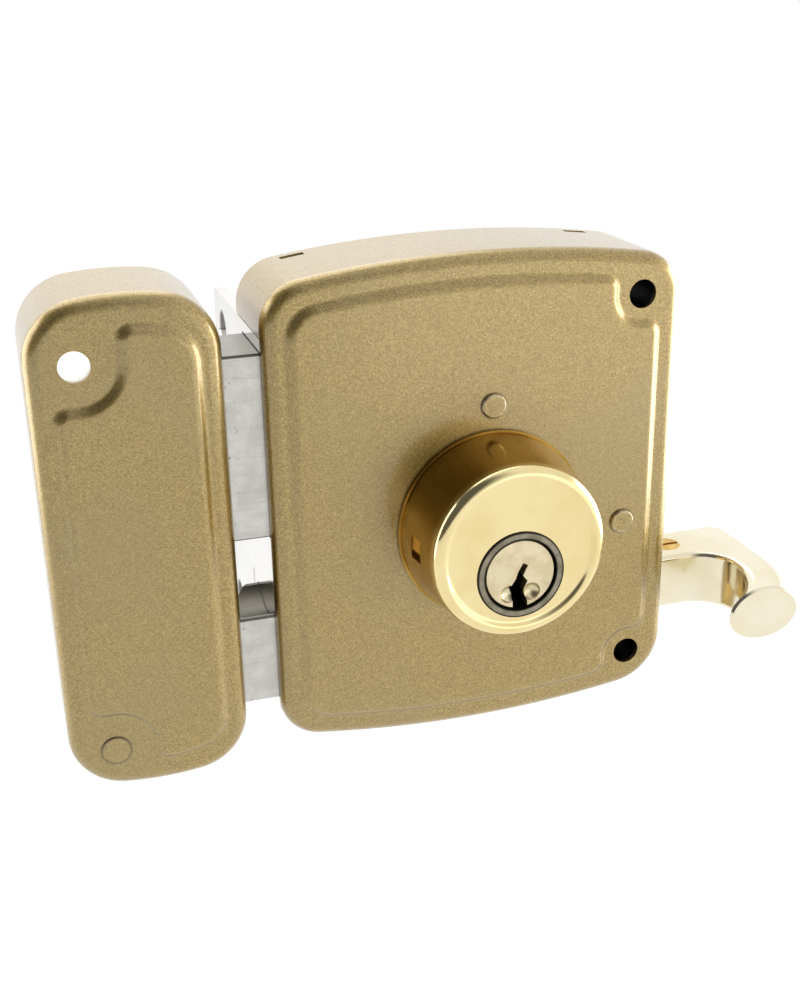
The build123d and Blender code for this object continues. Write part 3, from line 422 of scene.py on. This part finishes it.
# %% The polished forend
EDGE_SCREW_HEIGHTS = (43.05 * MM, -27.95 * MM)
EDGE_SCREW_DEPTH = 20.4 * MM
EDGE_SCREW_SINK = 4.9 * MM
BUFFING_LINE = 0.35 * MM
BUFFING_STRETCH = 0.01
BUFFING_RELIEF = 0.004 * MM
forend = Finish("polished_forend")
lines = forend.noise(BUFFING_LINE, detail=3, place=forend.stretched(1, 1, BUFFING_STRETCH))
smear = forend.noise(14 * MM, detail=3)
colour = forend.mix(smear.rises(0.3, 0.7), seen(226, 224, 218), seen(238, 236, 231))
for sink_z in EDGE_SCREW_HEIGHTS:
    y = forend.axis(1, EDGE_SCREW_DEPTH)
    z = forend.axis(2, sink_z)
    sunk = ((y * y + z * z) ** 0.5).falls(EDGE_SCREW_SINK - 0.5 * MM, EDGE_SCREW_SINK)
    # The two countersunk screw holes are painted darker.
    colour = forend.mix(sunk * 0.85, colour, seen(70, 66, 58))
forend.wear({"Base Color": colour})
forend.wear({"Roughness": 0.07 + 0.06 * lines + 0.10 * smear.rises(0.5, 0.8)})
forend.bump(lines, BUFFING_RELIEF)
dress(forend, "forend")

# %% [markdown]
# ## The turned brass collar
# The collar is turned on a lathe, polished on its face and lacquered. Under
# the gloss there are still faint rings round its axis, from the tool. The
# distance from the axis drives them, so they run round the face as rings and
# along the cone as a thread. The cone is painted a deeper, browner gold than
# the pale face, a painted reflection of the dark side of the room. At its foot,
# where it meets the case, it is painted darkest, as painted shade.

# %% The brass collar
RING_PITCH = 0.22 * MM
RING_RELIEF = 0.0012 * MM
collar_middle = middle_of("cylinder_collar")
collar_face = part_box("cylinder_collar")[0][1]
print("the collar's face is", round(-collar_face / MM, 2), "mm in front of the door")


def rings(finish, centre, pitch):
    """The distance from an axis along Y, and fine rings round that axis."""
    radius = finish.from_axis(centre)
    turns = (radius + 0.5 * finish.axis(1)) * (math.tau / pitch)
    return radius, turns.maths("SINE", turns) * 0.5 + 0.5


collar = Finish("turned_brass")
radius, tool_rings = rings(collar, collar_middle, RING_PITCH)
tarnish = collar.noise(9 * MM, detail=4)
face_colour = collar.mix(tarnish.rises(0.35, 0.75), seen(238, 220, 166), seen(230, 209, 150))
# The cone is painted darker and browner than the face: a painted reflection of the dark room.
shaded_side_colour = collar.mix(tarnish.rises(0.35, 0.75), seen(203, 168, 92), seen(176, 138, 62))
on_side = collar.axis(1, collar_face).rises(1.6 * MM, 3.4 * MM)
colour = collar.mix(on_side, face_colour, shaded_side_colour)
# Darkest at the foot, where it meets the case: painted shade.
shaded_foot = collar.axis(1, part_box("case_front")[0][1]).rises(-1.3 * MM, -0.5 * MM)
collar.wear({"Base Color": collar.mix(shaded_foot * 0.75, colour, seen(88, 64, 24))})
collar.wear({"Roughness": 0.11 + 0.05 * tool_rings + 0.12 * tarnish.rises(0.5, 0.8)})
collar.bump(tool_rings, RING_RELIEF)
dress(collar, "cylinder_collar")

# %% [markdown]
# ## The nose of the cylinder and the plug
# The nose is plain satin nickel, darker than the plug. Dirt and shadow sit in
# the two thin gaps beside it, which read as black lines in the photograph.
# The plug that the key turns is plated in a warmer nickel, which years of
# keys have scratched and speckled. Its rim is painted dark, as painted
# shadow and dirt, and the deeper parts of its face are painted dark as
# painted shade in the keyway.

# %% The nose of the cylinder
NOSE_OUTER = 10.0 * MM
PLUG_OUTER = 8.3 * MM
KEY_AXIS = Vector((0.0, 0.0, 0.0))
NOSE_PITCH = 0.15 * MM
nose = Finish("satin_nickel", metallic=0.95)
radius, nose_rings = rings(nose, KEY_AXIS, NOSE_PITCH)
patch = nose.noise(3 * MM, detail=4)
outer_gap = radius.rises(NOSE_OUTER - 0.5 * MM, NOSE_OUTER - 0.15 * MM)
inner_gap = radius.falls(PLUG_OUTER + 0.1 * MM, PLUG_OUTER + 0.45 * MM)
near_face = nose.axis(1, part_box("cylinder_body")[0][1]).falls(4 * MM, 6 * MM)
in_gap = outer_gap.maths("MAXIMUM", outer_gap, inner_gap) * near_face
nose_colour = nose.mix(patch.rises(0.3, 0.7), seen(118, 112, 94), seen(150, 144, 124))
nose.wear({"Base Color": nose.mix(in_gap * 0.92, nose_colour, seen(22, 19, 14))})
nose.wear({"Roughness": 0.24 + 0.08 * nose_rings + 0.3 * in_gap})
nose.bump(nose_rings, 0.002 * MM)
dress(nose, "cylinder_body", "cylinder_flange", "chamber_cap")

# %% The plug
PLUG_PITCH = 0.18 * MM
PLUG_RELIEF = 0.010 * MM
plug = Finish("warm_nickel", metallic=0.9)
radius, plug_rings = rings(plug, KEY_AXIS, PLUG_PITCH)
specks = plug.cells(0.6 * MM).falls(0.10, 0.22) * plug.noise(2.2 * MM).rises(0.46, 0.6)
scratch = plug.noise(0.35 * MM, detail=3, place=plug.stretched(0.25, 1, 1)).rises(0.6, 0.72)
cloud = plug.noise(3 * MM, detail=4)
plug_colour = plug.mix(cloud.rises(0.3, 0.75), seen(226, 212, 177), seen(206, 191, 153))
plug_colour = plug.mix(specks * 0.6, plug_colour, seen(130, 114, 82))
plug_colour = plug.mix(scratch * 0.4, plug_colour, seen(168, 150, 112))
# The rim: painted shadow and dirt in the gap. Deeper in the plug: painted shade in the keyway.
rim_shadow_and_dirt = radius.rises(PLUG_OUTER - 0.45 * MM, PLUG_OUTER - 0.1 * MM)
inside = plug.axis(1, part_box("key_plug")[0][1]).rises(0.8 * MM, 4.0 * MM)
dark = rim_shadow_and_dirt.maths("MAXIMUM", rim_shadow_and_dirt * 0.8, inside * 0.9)
plug.wear({"Base Color": plug.mix(dark, plug_colour, seen(44, 39, 30))})
plug.wear({"Roughness": 0.24 + 0.08 * plug_rings + 0.25 * specks})
plug.bump(plug_rings * 0.3 - specks - scratch * 0.4, PLUG_RELIEF)
dress(plug, "key_plug")

# %% [markdown]
# ## The pale brass handle
# The pull is a brass casting, polished and thinly lacquered. The lacquer makes
# it paler and warmer than the bare collar. A shallow ripple is left from the
# polishing belt, and the roughness changes a little where fingers rub it.

# %% The handle
RIPPLE = 6 * MM
RIPPLE_RELIEF = 0.06 * MM
SCRATCH_RELIEF = 0.008 * MM
handle = Finish("pale_brass")
ripple = handle.noise(RIPPLE, detail=2)
rub = handle.noise(12 * MM, detail=3)
hairline = handle.noise(0.5 * MM, detail=2, place=handle.stretched(1, 0.05, 1))
nick = handle.cells(1.1 * MM).falls(0.06, 0.16) * handle.noise(4 * MM).rises(0.52, 0.64)
colour = handle.mix(rub.rises(0.3, 0.75), seen(236, 229, 206), seen(229, 218, 186))
handle.wear({"Base Color": handle.mix(nick * 0.5, colour, seen(168, 140, 86))})
handle.wear({"Roughness": 0.12 + 0.06 * hairline + 0.12 * rub.rises(0.5, 0.8)})
handle.bump(ripple, RIPPLE_RELIEF)
handle.bump(hairline * 0.3 - nick, SCRATCH_RELIEF)
dress(handle, "pull_handle")

# %% [markdown]
# ## Plain steel, zinc plate and springs
# The pieces behind the cover are cheaper: sheet with a bright zinc plate that
# has grown a little dull and yellow, plain turned steel, and dark spring steel.
# All of them share one function and differ in colour, in the size of their
# clouds and in how far their grain is drawn out.

# %% Steel, zinc and springs
def plain_metal(name, light, dark, cloud_size, roughness, brush=1.0):
    """A metal with clouds of cloud_size metres between a light and a dark colour."""
    metal = Finish(name)
    cloud = metal.noise(cloud_size, detail=5, roughness=0.6)
    grain = metal.noise(0.2 * MM, detail=2, place=metal.stretched(1, 1, brush))
    spots = metal.cells(2.5 * MM).falls(0.05, 0.12) * metal.noise(9 * MM).rises(0.5, 0.62)
    colour = metal.mix(cloud.rises(0.3, 0.7), light, dark)
    metal.wear({"Base Color": metal.mix(spots * 0.5, colour, seen(84, 76, 62))})
    metal.wear({"Roughness": roughness + 0.12 * cloud + 0.08 * grain})
    metal.bump(grain, 0.006 * MM)
    return metal


zinc = plain_metal("zinc_plate", seen(206, 204, 191), seen(190, 187, 173), 5 * MM, 0.28)
dress(zinc, "back_plate", "deadbolt_tail", "latch_slide", "latch_bracket")
dress(zinc, "keeper_base", "keeper_strike")
steel_colours = (seen(205, 204, 200), seen(170, 169, 165))
steel = plain_metal("turned_steel", *steel_colours, 3 * MM, 0.26, brush=0.2)
dress(steel, "collar_screws", "plug_spacer", "drive_cam", "deadbolt_dowels")
dress(steel, "friction_spring_rivet", "latch_pin", "bracket_rivets", "spring_rod")
spring = plain_metal("spring_steel", seen(150, 149, 150), seen(108, 106, 108), 4 * MM, 0.3)
dress(spring, "latch_spring", "friction_spring", "cam_clip")
pins = plain_metal("pin_brass", seen(226, 194, 118), seen(196, 158, 84), 2 * MM, 0.24)
dress(pins, "driver_pins", "key_pins")
# The screw sleeves are painted near black: painted shade that keeps the case's screw holes
# dark.
painted_shade_metal = plain_metal("painted_shade_steel", seen(34, 33, 32), seen(22, 21, 20), 3 * MM, 0.42)
dress(painted_shade_metal, "screw_sleeves")

# %% [markdown]
# ## The keeper's sleeve
# The keeper's screw runs through a moulded nylon sleeve that holds the cover
# off its base. It is milky white and lets some light through, and it has a
# faint glow, painted light, so that the hole in the keeper looks white where
# the holes in the case look black.

# %% The nylon sleeve
LIGHT_THROUGH = {"Subsurface_Weight": 0.3, "Subsurface_Scale": 2 * MM}
NYLON_RELIEF = 0.008 * MM
nylon = Finish("white_nylon", metallic=0.0, **LIGHT_THROUGH)
haze = nylon.noise(5 * MM, detail=3)
speckle = nylon.noise(0.3 * MM, detail=2)
milky = nylon.mix(haze.rises(0.3, 0.7), seen(250, 250, 247), seen(243, 243, 238))
nylon.wear({"Base Color": milky, "Roughness": 0.44 + 0.12 * speckle})
# A faint glow: painted light that keeps the hole in the keeper white.
nylon.wear({"Emission Color": (1.0, 1.0, 0.99, 1.0), "Emission Strength": 0.25})
nylon.bump(speckle, NYLON_RELIEF)
dress(nylon, "keeper_sleeve")

# %% [markdown]
# ## The handle's screw
# The screw that holds the slide in the handle is a countersunk brass screw.
# CAD gives its size. A slot for the screwdriver is what it lacks, so a new
# head is spun from its profile, cut across and given to the same body.

# %% Two helpers for new pieces
SAME_PLACE = 0.001 * MM


def spun(mesh_tool, line, centre, axis, sides):
    """Turns a line of places, given from centre, once round an axis through it."""
    points = [mesh_tool.verts.new(centre + Vector(place)) for place in line]
    edges = [mesh_tool.edges.new(pair) for pair in zip(points, points[1:])]
    turn = {"cent": centre, "axis": axis, "angle": math.tau, "steps": sides}
    bmesh.ops.spin(mesh_tool, geom=points + edges, use_merge=True, **turn)
    bmesh.ops.remove_doubles(mesh_tool, verts=mesh_tool.verts, dist=SAME_PLACE)


def object_from(mesh_tool, name, finish, body):
    """Makes an object of a finished bmesh and lets it ride with a body."""
    bmesh.ops.remove_doubles(mesh_tool, verts=mesh_tool.verts, dist=SAME_PLACE)
    bmesh.ops.recalc_face_normals(mesh_tool, faces=mesh_tool.faces)
    mesh = bpy.data.meshes.new(name)
    mesh_tool.to_mesh(mesh)
    mesh_tool.free()
    piece = bpy.data.objects.new(name, mesh)
    bpy.context.collection.objects.link(piece)
    mesh.materials.append(finish.material)
    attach(piece, body)
    print(name, len(mesh.polygons), "faces, rides on", body)
    return piece


# %% The screw, spun from half its outline
SLOT_WIDTH = 1.0 * MM
SCREW_SIDES = 48
STEM_RADIUS = 1.85 * MM
HEAD_HEIGHT = 2.0 * MM
POINT_CHAMFER = 0.4 * MM
screw_low, screw_high = (Vector(corner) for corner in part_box("handle_screw"))
screw_top = (screw_low + screw_high) / 2
screw_top.z = screw_high.z
head_radius = (screw_high.x - screw_low.x) / 2
length = screw_high.z - screw_low.z
print("screw", round(length / MM, 2), "mm long,", round(2 * head_radius / MM, 2), "mm across")

screw_profile = [
    (0.0, 0.0),
    (SLOT_WIDTH, 0.0),
    (head_radius * 0.97, -0.02 * MM),
    (head_radius, -0.12 * MM),
    (STEM_RADIUS, -HEAD_HEIGHT),
    (STEM_RADIUS, POINT_CHAMFER - length),
    (STEM_RADIUS - POINT_CHAMFER, -length),
    (0.0, -length),
]
screw = bmesh.new()
spun(screw, [(r, 0, h) for r, h in screw_profile], screw_top, (0, 0, 1), SCREW_SIDES)
print("spun", len(screw.faces), "faces")

# %% [markdown]
# The slot is sawn in the real screw. Here two planes cut the head along the
# slot's edges, and the strip of faces between them is pulled down.

# %% The slot across the head
SLOT_DEPTH = 0.7 * MM
UNDER_TOP = 0.1 * MM
for side in (1, -1):
    edge = screw_top + Vector((0, side * SLOT_WIDTH / 2, 0))
    whole = screw.verts[:] + screw.edges[:] + screw.faces[:]
    bmesh.ops.bisect_plane(screw, geom=whole, plane_co=edge, plane_no=(0, side, 0))
slot_faces = []
for face in screw.faces:
    middle = face.calc_center_median()
    if abs(middle.y - screw_top.y) < SLOT_WIDTH / 2 and middle.z > screw_top.z - UNDER_TOP:
        slot_faces.append(face)
sunk = bmesh.ops.extrude_face_region(screw, geom=slot_faces)
bmesh.ops.delete(screw, geom=slot_faces, context="FACES")
sunk_points = [item for item in sunk["geom"] if isinstance(item, bmesh.types.BMVert)]
bmesh.ops.translate(screw, verts=sunk_points, vec=(0, 0, -SLOT_DEPTH))

# %% Its brass, and its place on the latch
screw_colours = (seen(228, 190, 104), seen(196, 152, 70))
screw_brass = plain_metal("screw_brass", *screw_colours, 2 * MM, 0.2)
handle_screw = object_from(screw, "slotted_handle_screw", screw_brass, "latch")
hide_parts("handle_screw")

# %% [markdown]
# ## The latch's return spring
# A compression spring is wound from round wire. Its last turn at each end lies
# close against the next, so that the spring stands square on its seat. Here a
# circle of wire is spun round the rod and moved along it at the same time, a
# little for the end turns and more for the open turns between them. On the
# real lock the spring shortens towards its bracket when the latch draws back;
# here it keeps its length.

# %% The return spring
SPRING_WIRE = 0.55 * MM
WIRE_SIDES = 10
STEPS_PER_TURN = 24
OPEN_TURNS = 7
CLOSED_PITCH = 2.1 * SPRING_WIRE
spring_low, spring_high = (Vector(corner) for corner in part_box("latch_spring"))
spring_middle = (spring_low + spring_high) / 2
spring_length = spring_high.x - spring_low.x
coil_radius = (spring_high.z - spring_low.z) / 2 - SPRING_WIRE
open_pitch = (spring_length - 2 * SPRING_WIRE - 2 * CLOSED_PITCH) / OPEN_TURNS

coil = bmesh.new()
wire_start = spring_middle.copy()
wire_start.x = spring_low.x + SPRING_WIRE
wire_start.z = spring_middle.z + coil_radius
wire_place = Matrix.Translation(wire_start) @ Matrix.Rotation(math.pi / 2, 4, "X")
bmesh.ops.create_circle(coil, segments=WIRE_SIDES, radius=SPRING_WIRE, matrix=wire_place)
wire_end = coil.verts[:] + coil.edges[:]
for turns, pitch in ((1, CLOSED_PITCH), (OPEN_TURNS, open_pitch), (1, CLOSED_PITCH)):
    turn = {"cent": spring_middle, "axis": (1, 0, 0), "angle": turns * math.tau}
    turn.update({"steps": turns * STEPS_PER_TURN, "dvec": (pitch / STEPS_PER_TURN, 0, 0)})
    wound = bmesh.ops.spin(coil, geom=wire_end, **turn)
    wire_end = wound["geom_last"]
for face in coil.faces:
    face.smooth = True
bmesh.ops.holes_fill(coil, edges=[edge for edge in coil.edges if edge.is_boundary])

# %% It takes the place of the plain helix, and rides with the case
latch_coil = object_from(coil, "coiled_latch_spring", spring, "lock_case")
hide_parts("latch_spring")
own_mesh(latch_coil)

# %% [markdown]
# ## The bead round the collar's face
# The turner left a rounded bead round the collar's face and sank the face a
# little inside it. The bead mirrors the dark side of the room twice, outside at
# the upper left and inside at the lower right. CAD ends the collar in a plain
# rounded edge, so here it is turned again from half its outline, and its bore,
# spanner slots and screw holes are cut with booleans.

# %% The collar, turned with its bead
BEAD_ROUND = 2.1 * MM
BEAD_WIDTH = 1.6 * MM
FACE_SINK = 0.55 * MM
FACE_WALL = 3.0 * MM
FRONT_RADIUS = 19.6 * MM
RIM_HEIGHT = 0.9 * MM
RIM_STEP = 0.4 * MM
CAVITY_RADIUS = 15.5 * MM
COLLAR_SIDES = 128
ARC_STEPS = 10
collar_low, collar_high = (Vector(corner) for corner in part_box("cylinder_collar"))
collar_long = collar_high.y - collar_low.y
base_radius = (collar_high.x - collar_low.x) / 2
foot_radius = base_radius - RIM_STEP
face_centre = Vector((collar_middle.x, collar_low.y, collar_middle.z))


def cone_radius(depth):
    """The cone's radius at a depth behind the face."""
    return FRONT_RADIUS + (foot_radius - FRONT_RADIUS) * depth / collar_long


crest = cone_radius(BEAD_ROUND) - BEAD_ROUND
collar_profile = [(0, FACE_SINK)]
for step in range(ARC_STEPS + 1):
    share = step / ARC_STEPS
    fall = FACE_SINK * (1 + math.cos(math.pi * share)) / 2
    collar_profile.append((crest - BEAD_WIDTH * (1 - share), fall))
for step in range(1, ARC_STEPS + 1):
    angle = math.pi / 2 * step / ARC_STEPS
    depth = BEAD_ROUND * (1 - math.cos(angle))
    collar_profile.append((crest + BEAD_ROUND * math.sin(angle), depth))
collar_profile += [
    (cone_radius(collar_long - RIM_HEIGHT), collar_long - RIM_HEIGHT),
    (base_radius, collar_long - RIM_HEIGHT),
    (base_radius, collar_long),
    (CAVITY_RADIUS, collar_long),
    (CAVITY_RADIUS, FACE_WALL),
    (0, FACE_WALL),
]
turned_collar = bmesh.new()
collar_line = [(r, depth, 0) for r, depth in collar_profile]
spun(turned_collar, collar_line, face_centre, (0, 1, 0), COLLAR_SIDES)
collar_piece = object_from(turned_collar, "beaded_collar", collar, "lock_case")

# %% What is cut from it: the nose's bore, two screw holes and two spanner slots
SLOT_PLACE = 8.7 * MM
SLOT_ACROSS = 4.4 * MM
SLOT_LONG = 5.2 * MM
SLOT_SINK = 0.9 * MM
HOLE_RADIUS = 1.6 * MM
HOLE_OFFSET = 13.2 * MM
HOLE_DEPTH = 8.0 * MM
CLEAR = 0.05 * MM
OVER = 1.0 * MM
ROD_SIDES = 96


def cutting_rod(x, z, radius, y_from, y_to):
    """Adds a rod along Y to the cutters."""
    along_y = Matrix.Rotation(math.pi / 2, 4, "X")
    place = Matrix.Translation((x, (y_from + y_to) / 2, z)) @ along_y
    form = {"radius1": radius, "radius2": radius, "depth": y_to - y_from}
    bmesh.ops.create_cone(cutters, segments=ROD_SIDES, cap_ends=True, matrix=place, **form)


cutters = bmesh.new()
bore_end = collar_low.y + FACE_WALL + OVER
cutting_rod(0, 0, NOSE_OUTER + CLEAR, collar_low.y - OVER, bore_end)
hole_z = face_centre.z - HOLE_OFFSET
hole_span = (collar_high.y - HOLE_DEPTH, collar_high.y + OVER)
slot_depth = collar_long - SLOT_PLACE
slot_x = cone_radius(slot_depth) + OVER
slot_size = Matrix.Diagonal((2 * (SLOT_SINK + OVER), SLOT_ACROSS, SLOT_LONG, 1))
for side in (1, -1):
    cutting_rod(side * HOLE_OFFSET, hole_z, HOLE_RADIUS, *hole_span)
    slot_place = Matrix.Translation(face_centre + Vector((side * slot_x, slot_depth, 0)))
    bmesh.ops.create_cube(cutters, size=1, matrix=slot_place @ slot_size)
print("cutters", len(cutters.faces), "faces")

# %% [markdown]
# A boolean modifier makes the cuts, and its result becomes the piece's own
# mesh, smooth but for its real edges.

# %% The cuts
SHARP_ANGLE = 28
cutter_mesh = bpy.data.meshes.new("collar_cutters")
cutters.to_mesh(cutter_mesh)
cutters.free()
cutter = bpy.data.objects.new("collar_cutters", cutter_mesh)
bpy.context.collection.objects.link(cutter)
cut = collar_piece.modifiers.new("cut", "BOOLEAN")
cut.operation = "DIFFERENCE"
cut.solver = "EXACT"
cut.object = cutter
bpy.context.view_layer.update()
evaluated = collar_piece.evaluated_get(bpy.context.evaluated_depsgraph_get())
cut_mesh = bpy.data.meshes.new_from_object(evaluated)
collar_piece.modifiers.remove(cut)
collar_piece.data = cut_mesh
bpy.data.objects.remove(cutter)
for face in cut_mesh.polygons:
    face.use_smooth = True
cut_mesh.set_sharp_from_angle(angle=math.radians(SHARP_ANGLE))
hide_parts("cylinder_collar")
print("cut, it has", len(cut_mesh.polygons), "faces")

# %% [markdown]
# ## The studio floor
# The lock is photographed on white, so the floor reads as white to the camera
# and to the polished metal, and still takes a little shadow. Part of it is a
# plain matt surface, and the rest a glow that only the camera and the mirrors
# see, so that it throws no light on the lock.

# %% The rays that see white
def ray_kinds(tree):
    """1 for rays from the camera, and 1 for rays that a gloss sends out."""
    kinds = ("Is Camera Ray", "Is Glossy Ray")
    return (tree.add("ShaderNodeLightPath", output=kind) for kind in kinds)


# %% The floor
FLOOR_DROP = 250 * MM
FLOOR_HALF = 8.0
GLOW_SHARE = 0.80
GLOW = 1.15
floor_tool = bmesh.new()
bmesh.ops.create_grid(floor_tool, x_segments=1, y_segments=1, size=FLOOR_HALF)
bmesh.ops.translate(floor_tool, verts=floor_tool.verts, vec=(0, 0, cad_box[0][2] - FLOOR_DROP))
floor_mesh = bpy.data.meshes.new("studio_floor")
floor_tool.to_mesh(floor_mesh)
floor_tool.free()
floor = bpy.data.objects.new("studio_floor", floor_mesh)
bpy.context.collection.objects.link(floor)

white = Finish("studio_white", metallic=0.0, roughness=0.9)
dapple = white.noise(0.4, detail=2)
white.wear({"Base Color": white.mix(dapple, seen(231, 231, 229), seen(234, 234, 232))})
by_camera, by_gloss = ray_kinds(white)
glow = white.add("ShaderNodeEmission", None, {"Strength": GLOW})
share = by_camera.maths("MAXIMUM", by_camera, by_gloss) * GLOW_SHARE
matt = Shade(white, white.shader.outputs[0])
surface = white.add("ShaderNodeMixShader", None, {0: share, 1: matt, 2: glow})
white.plug(white.nodes["Material Output"].inputs["Surface"], surface)
floor_mesh.materials.append(white.material)
print("floor", round(-cad_box[0][2] / MM + FLOOR_DROP / MM), "mm below the key's axis")

# %% [markdown]
# ## The room round the lock
# Polished metal looks like what it mirrors. Behind the lock the backdrop is
# bright, and that is why its upper and left walls are nearly white. Above and
# in front, on the left, the room is dark, which gives the brown bands on the
# rounded edges and on the collar. One direction and a smooth fall towards it
# make that dark side, and a second fall along Y the bright backdrop.

# %% The world
DARK_SIDE = Vector((-0.75, -0.52, 0.40)).normalized()
DARK_SHARE = 0.88
BACKDROP = 0.15
SOFT_LIGHT = 0.62
world = bpy.data.worlds.new("studio")
bpy.context.scene.world = world
sky = Tree(world)
direction = sky.add("ShaderNodeTexCoord", output="Generated")
dark_side = {0: direction, 1: DARK_SIDE}
towards_dark = sky.add("ShaderNodeVectorMath", {"operation": "DOT_PRODUCT"}, dark_side, "Value")
towards_back = sky.add("ShaderNodeSeparateXYZ", None, {0: direction}, 1)
darkness = DARK_SHARE * towards_dark.rises(0.36, 0.80)
backdrop = BACKDROP * towards_back.rises(0.15, 0.75)
room = 1 - darkness + backdrop
by_camera, by_gloss = ray_kinds(sky)
lit = room * (SOFT_LIGHT + (1 - SOFT_LIGHT) * by_gloss)
strength = lit + (1 - lit) * by_camera
background = sky.nodes["Background"]
sky.plug(background.inputs["Color"], (1, 1, 1, 1))
sky.plug(background.inputs["Strength"], strength)
print("the room's dark side lies towards", tuple(round(value, 2) for value in DARK_SIDE))

# %% [markdown]
# ## The lamps
# Four soft boxes: one above and behind, which whitens the tops, one on the left
# for the left walls, one on the right, which draws the bright lines along the
# right-hand edges and steps, and a weak one in front. They are large and near,
# as in a product photograph, so that no shadow has a hard edge.

# %% The lamps
def soft_box(name, place, target, width, height, power):
    """A rectangular lamp at place, in metres, that faces target."""
    data = bpy.data.lights.new(name, "AREA")
    data.shape = "RECTANGLE"
    data.size = width
    data.size_y = height
    data.energy = power
    lamp = bpy.data.objects.new(name, data)
    bpy.context.collection.objects.link(lamp)
    direction = Vector(target) - Vector(place)
    turn = direction.to_track_quat("-Z", "Y").to_matrix().to_4x4()
    lamp.matrix_world = Matrix.Translation(Vector(place)) @ turn
    lamp.visible_camera = False
    print(name, power, "W,", round(direction.length, 2), "m away")
    return lamp


heart = middle_of("case_walls")
soft_box("top_box", heart + Vector((-0.1, 0.45, 0.65)), heart, 0.8, 0.8, 2.4)
soft_box("left_box", heart + Vector((-0.8, 0.25, 0.15)), heart, 0.7, 0.9, 5)
soft_box("right_box", heart + Vector((0.75, 0.03, -0.03)), heart, 0.8, 0.5, 6)
soft_box("front_box", heart + Vector((0.6, -0.8, -0.1)), heart, 0.9, 0.6, 1.1)
bpy.context.scene.view_settings.view_transform = "Standard"
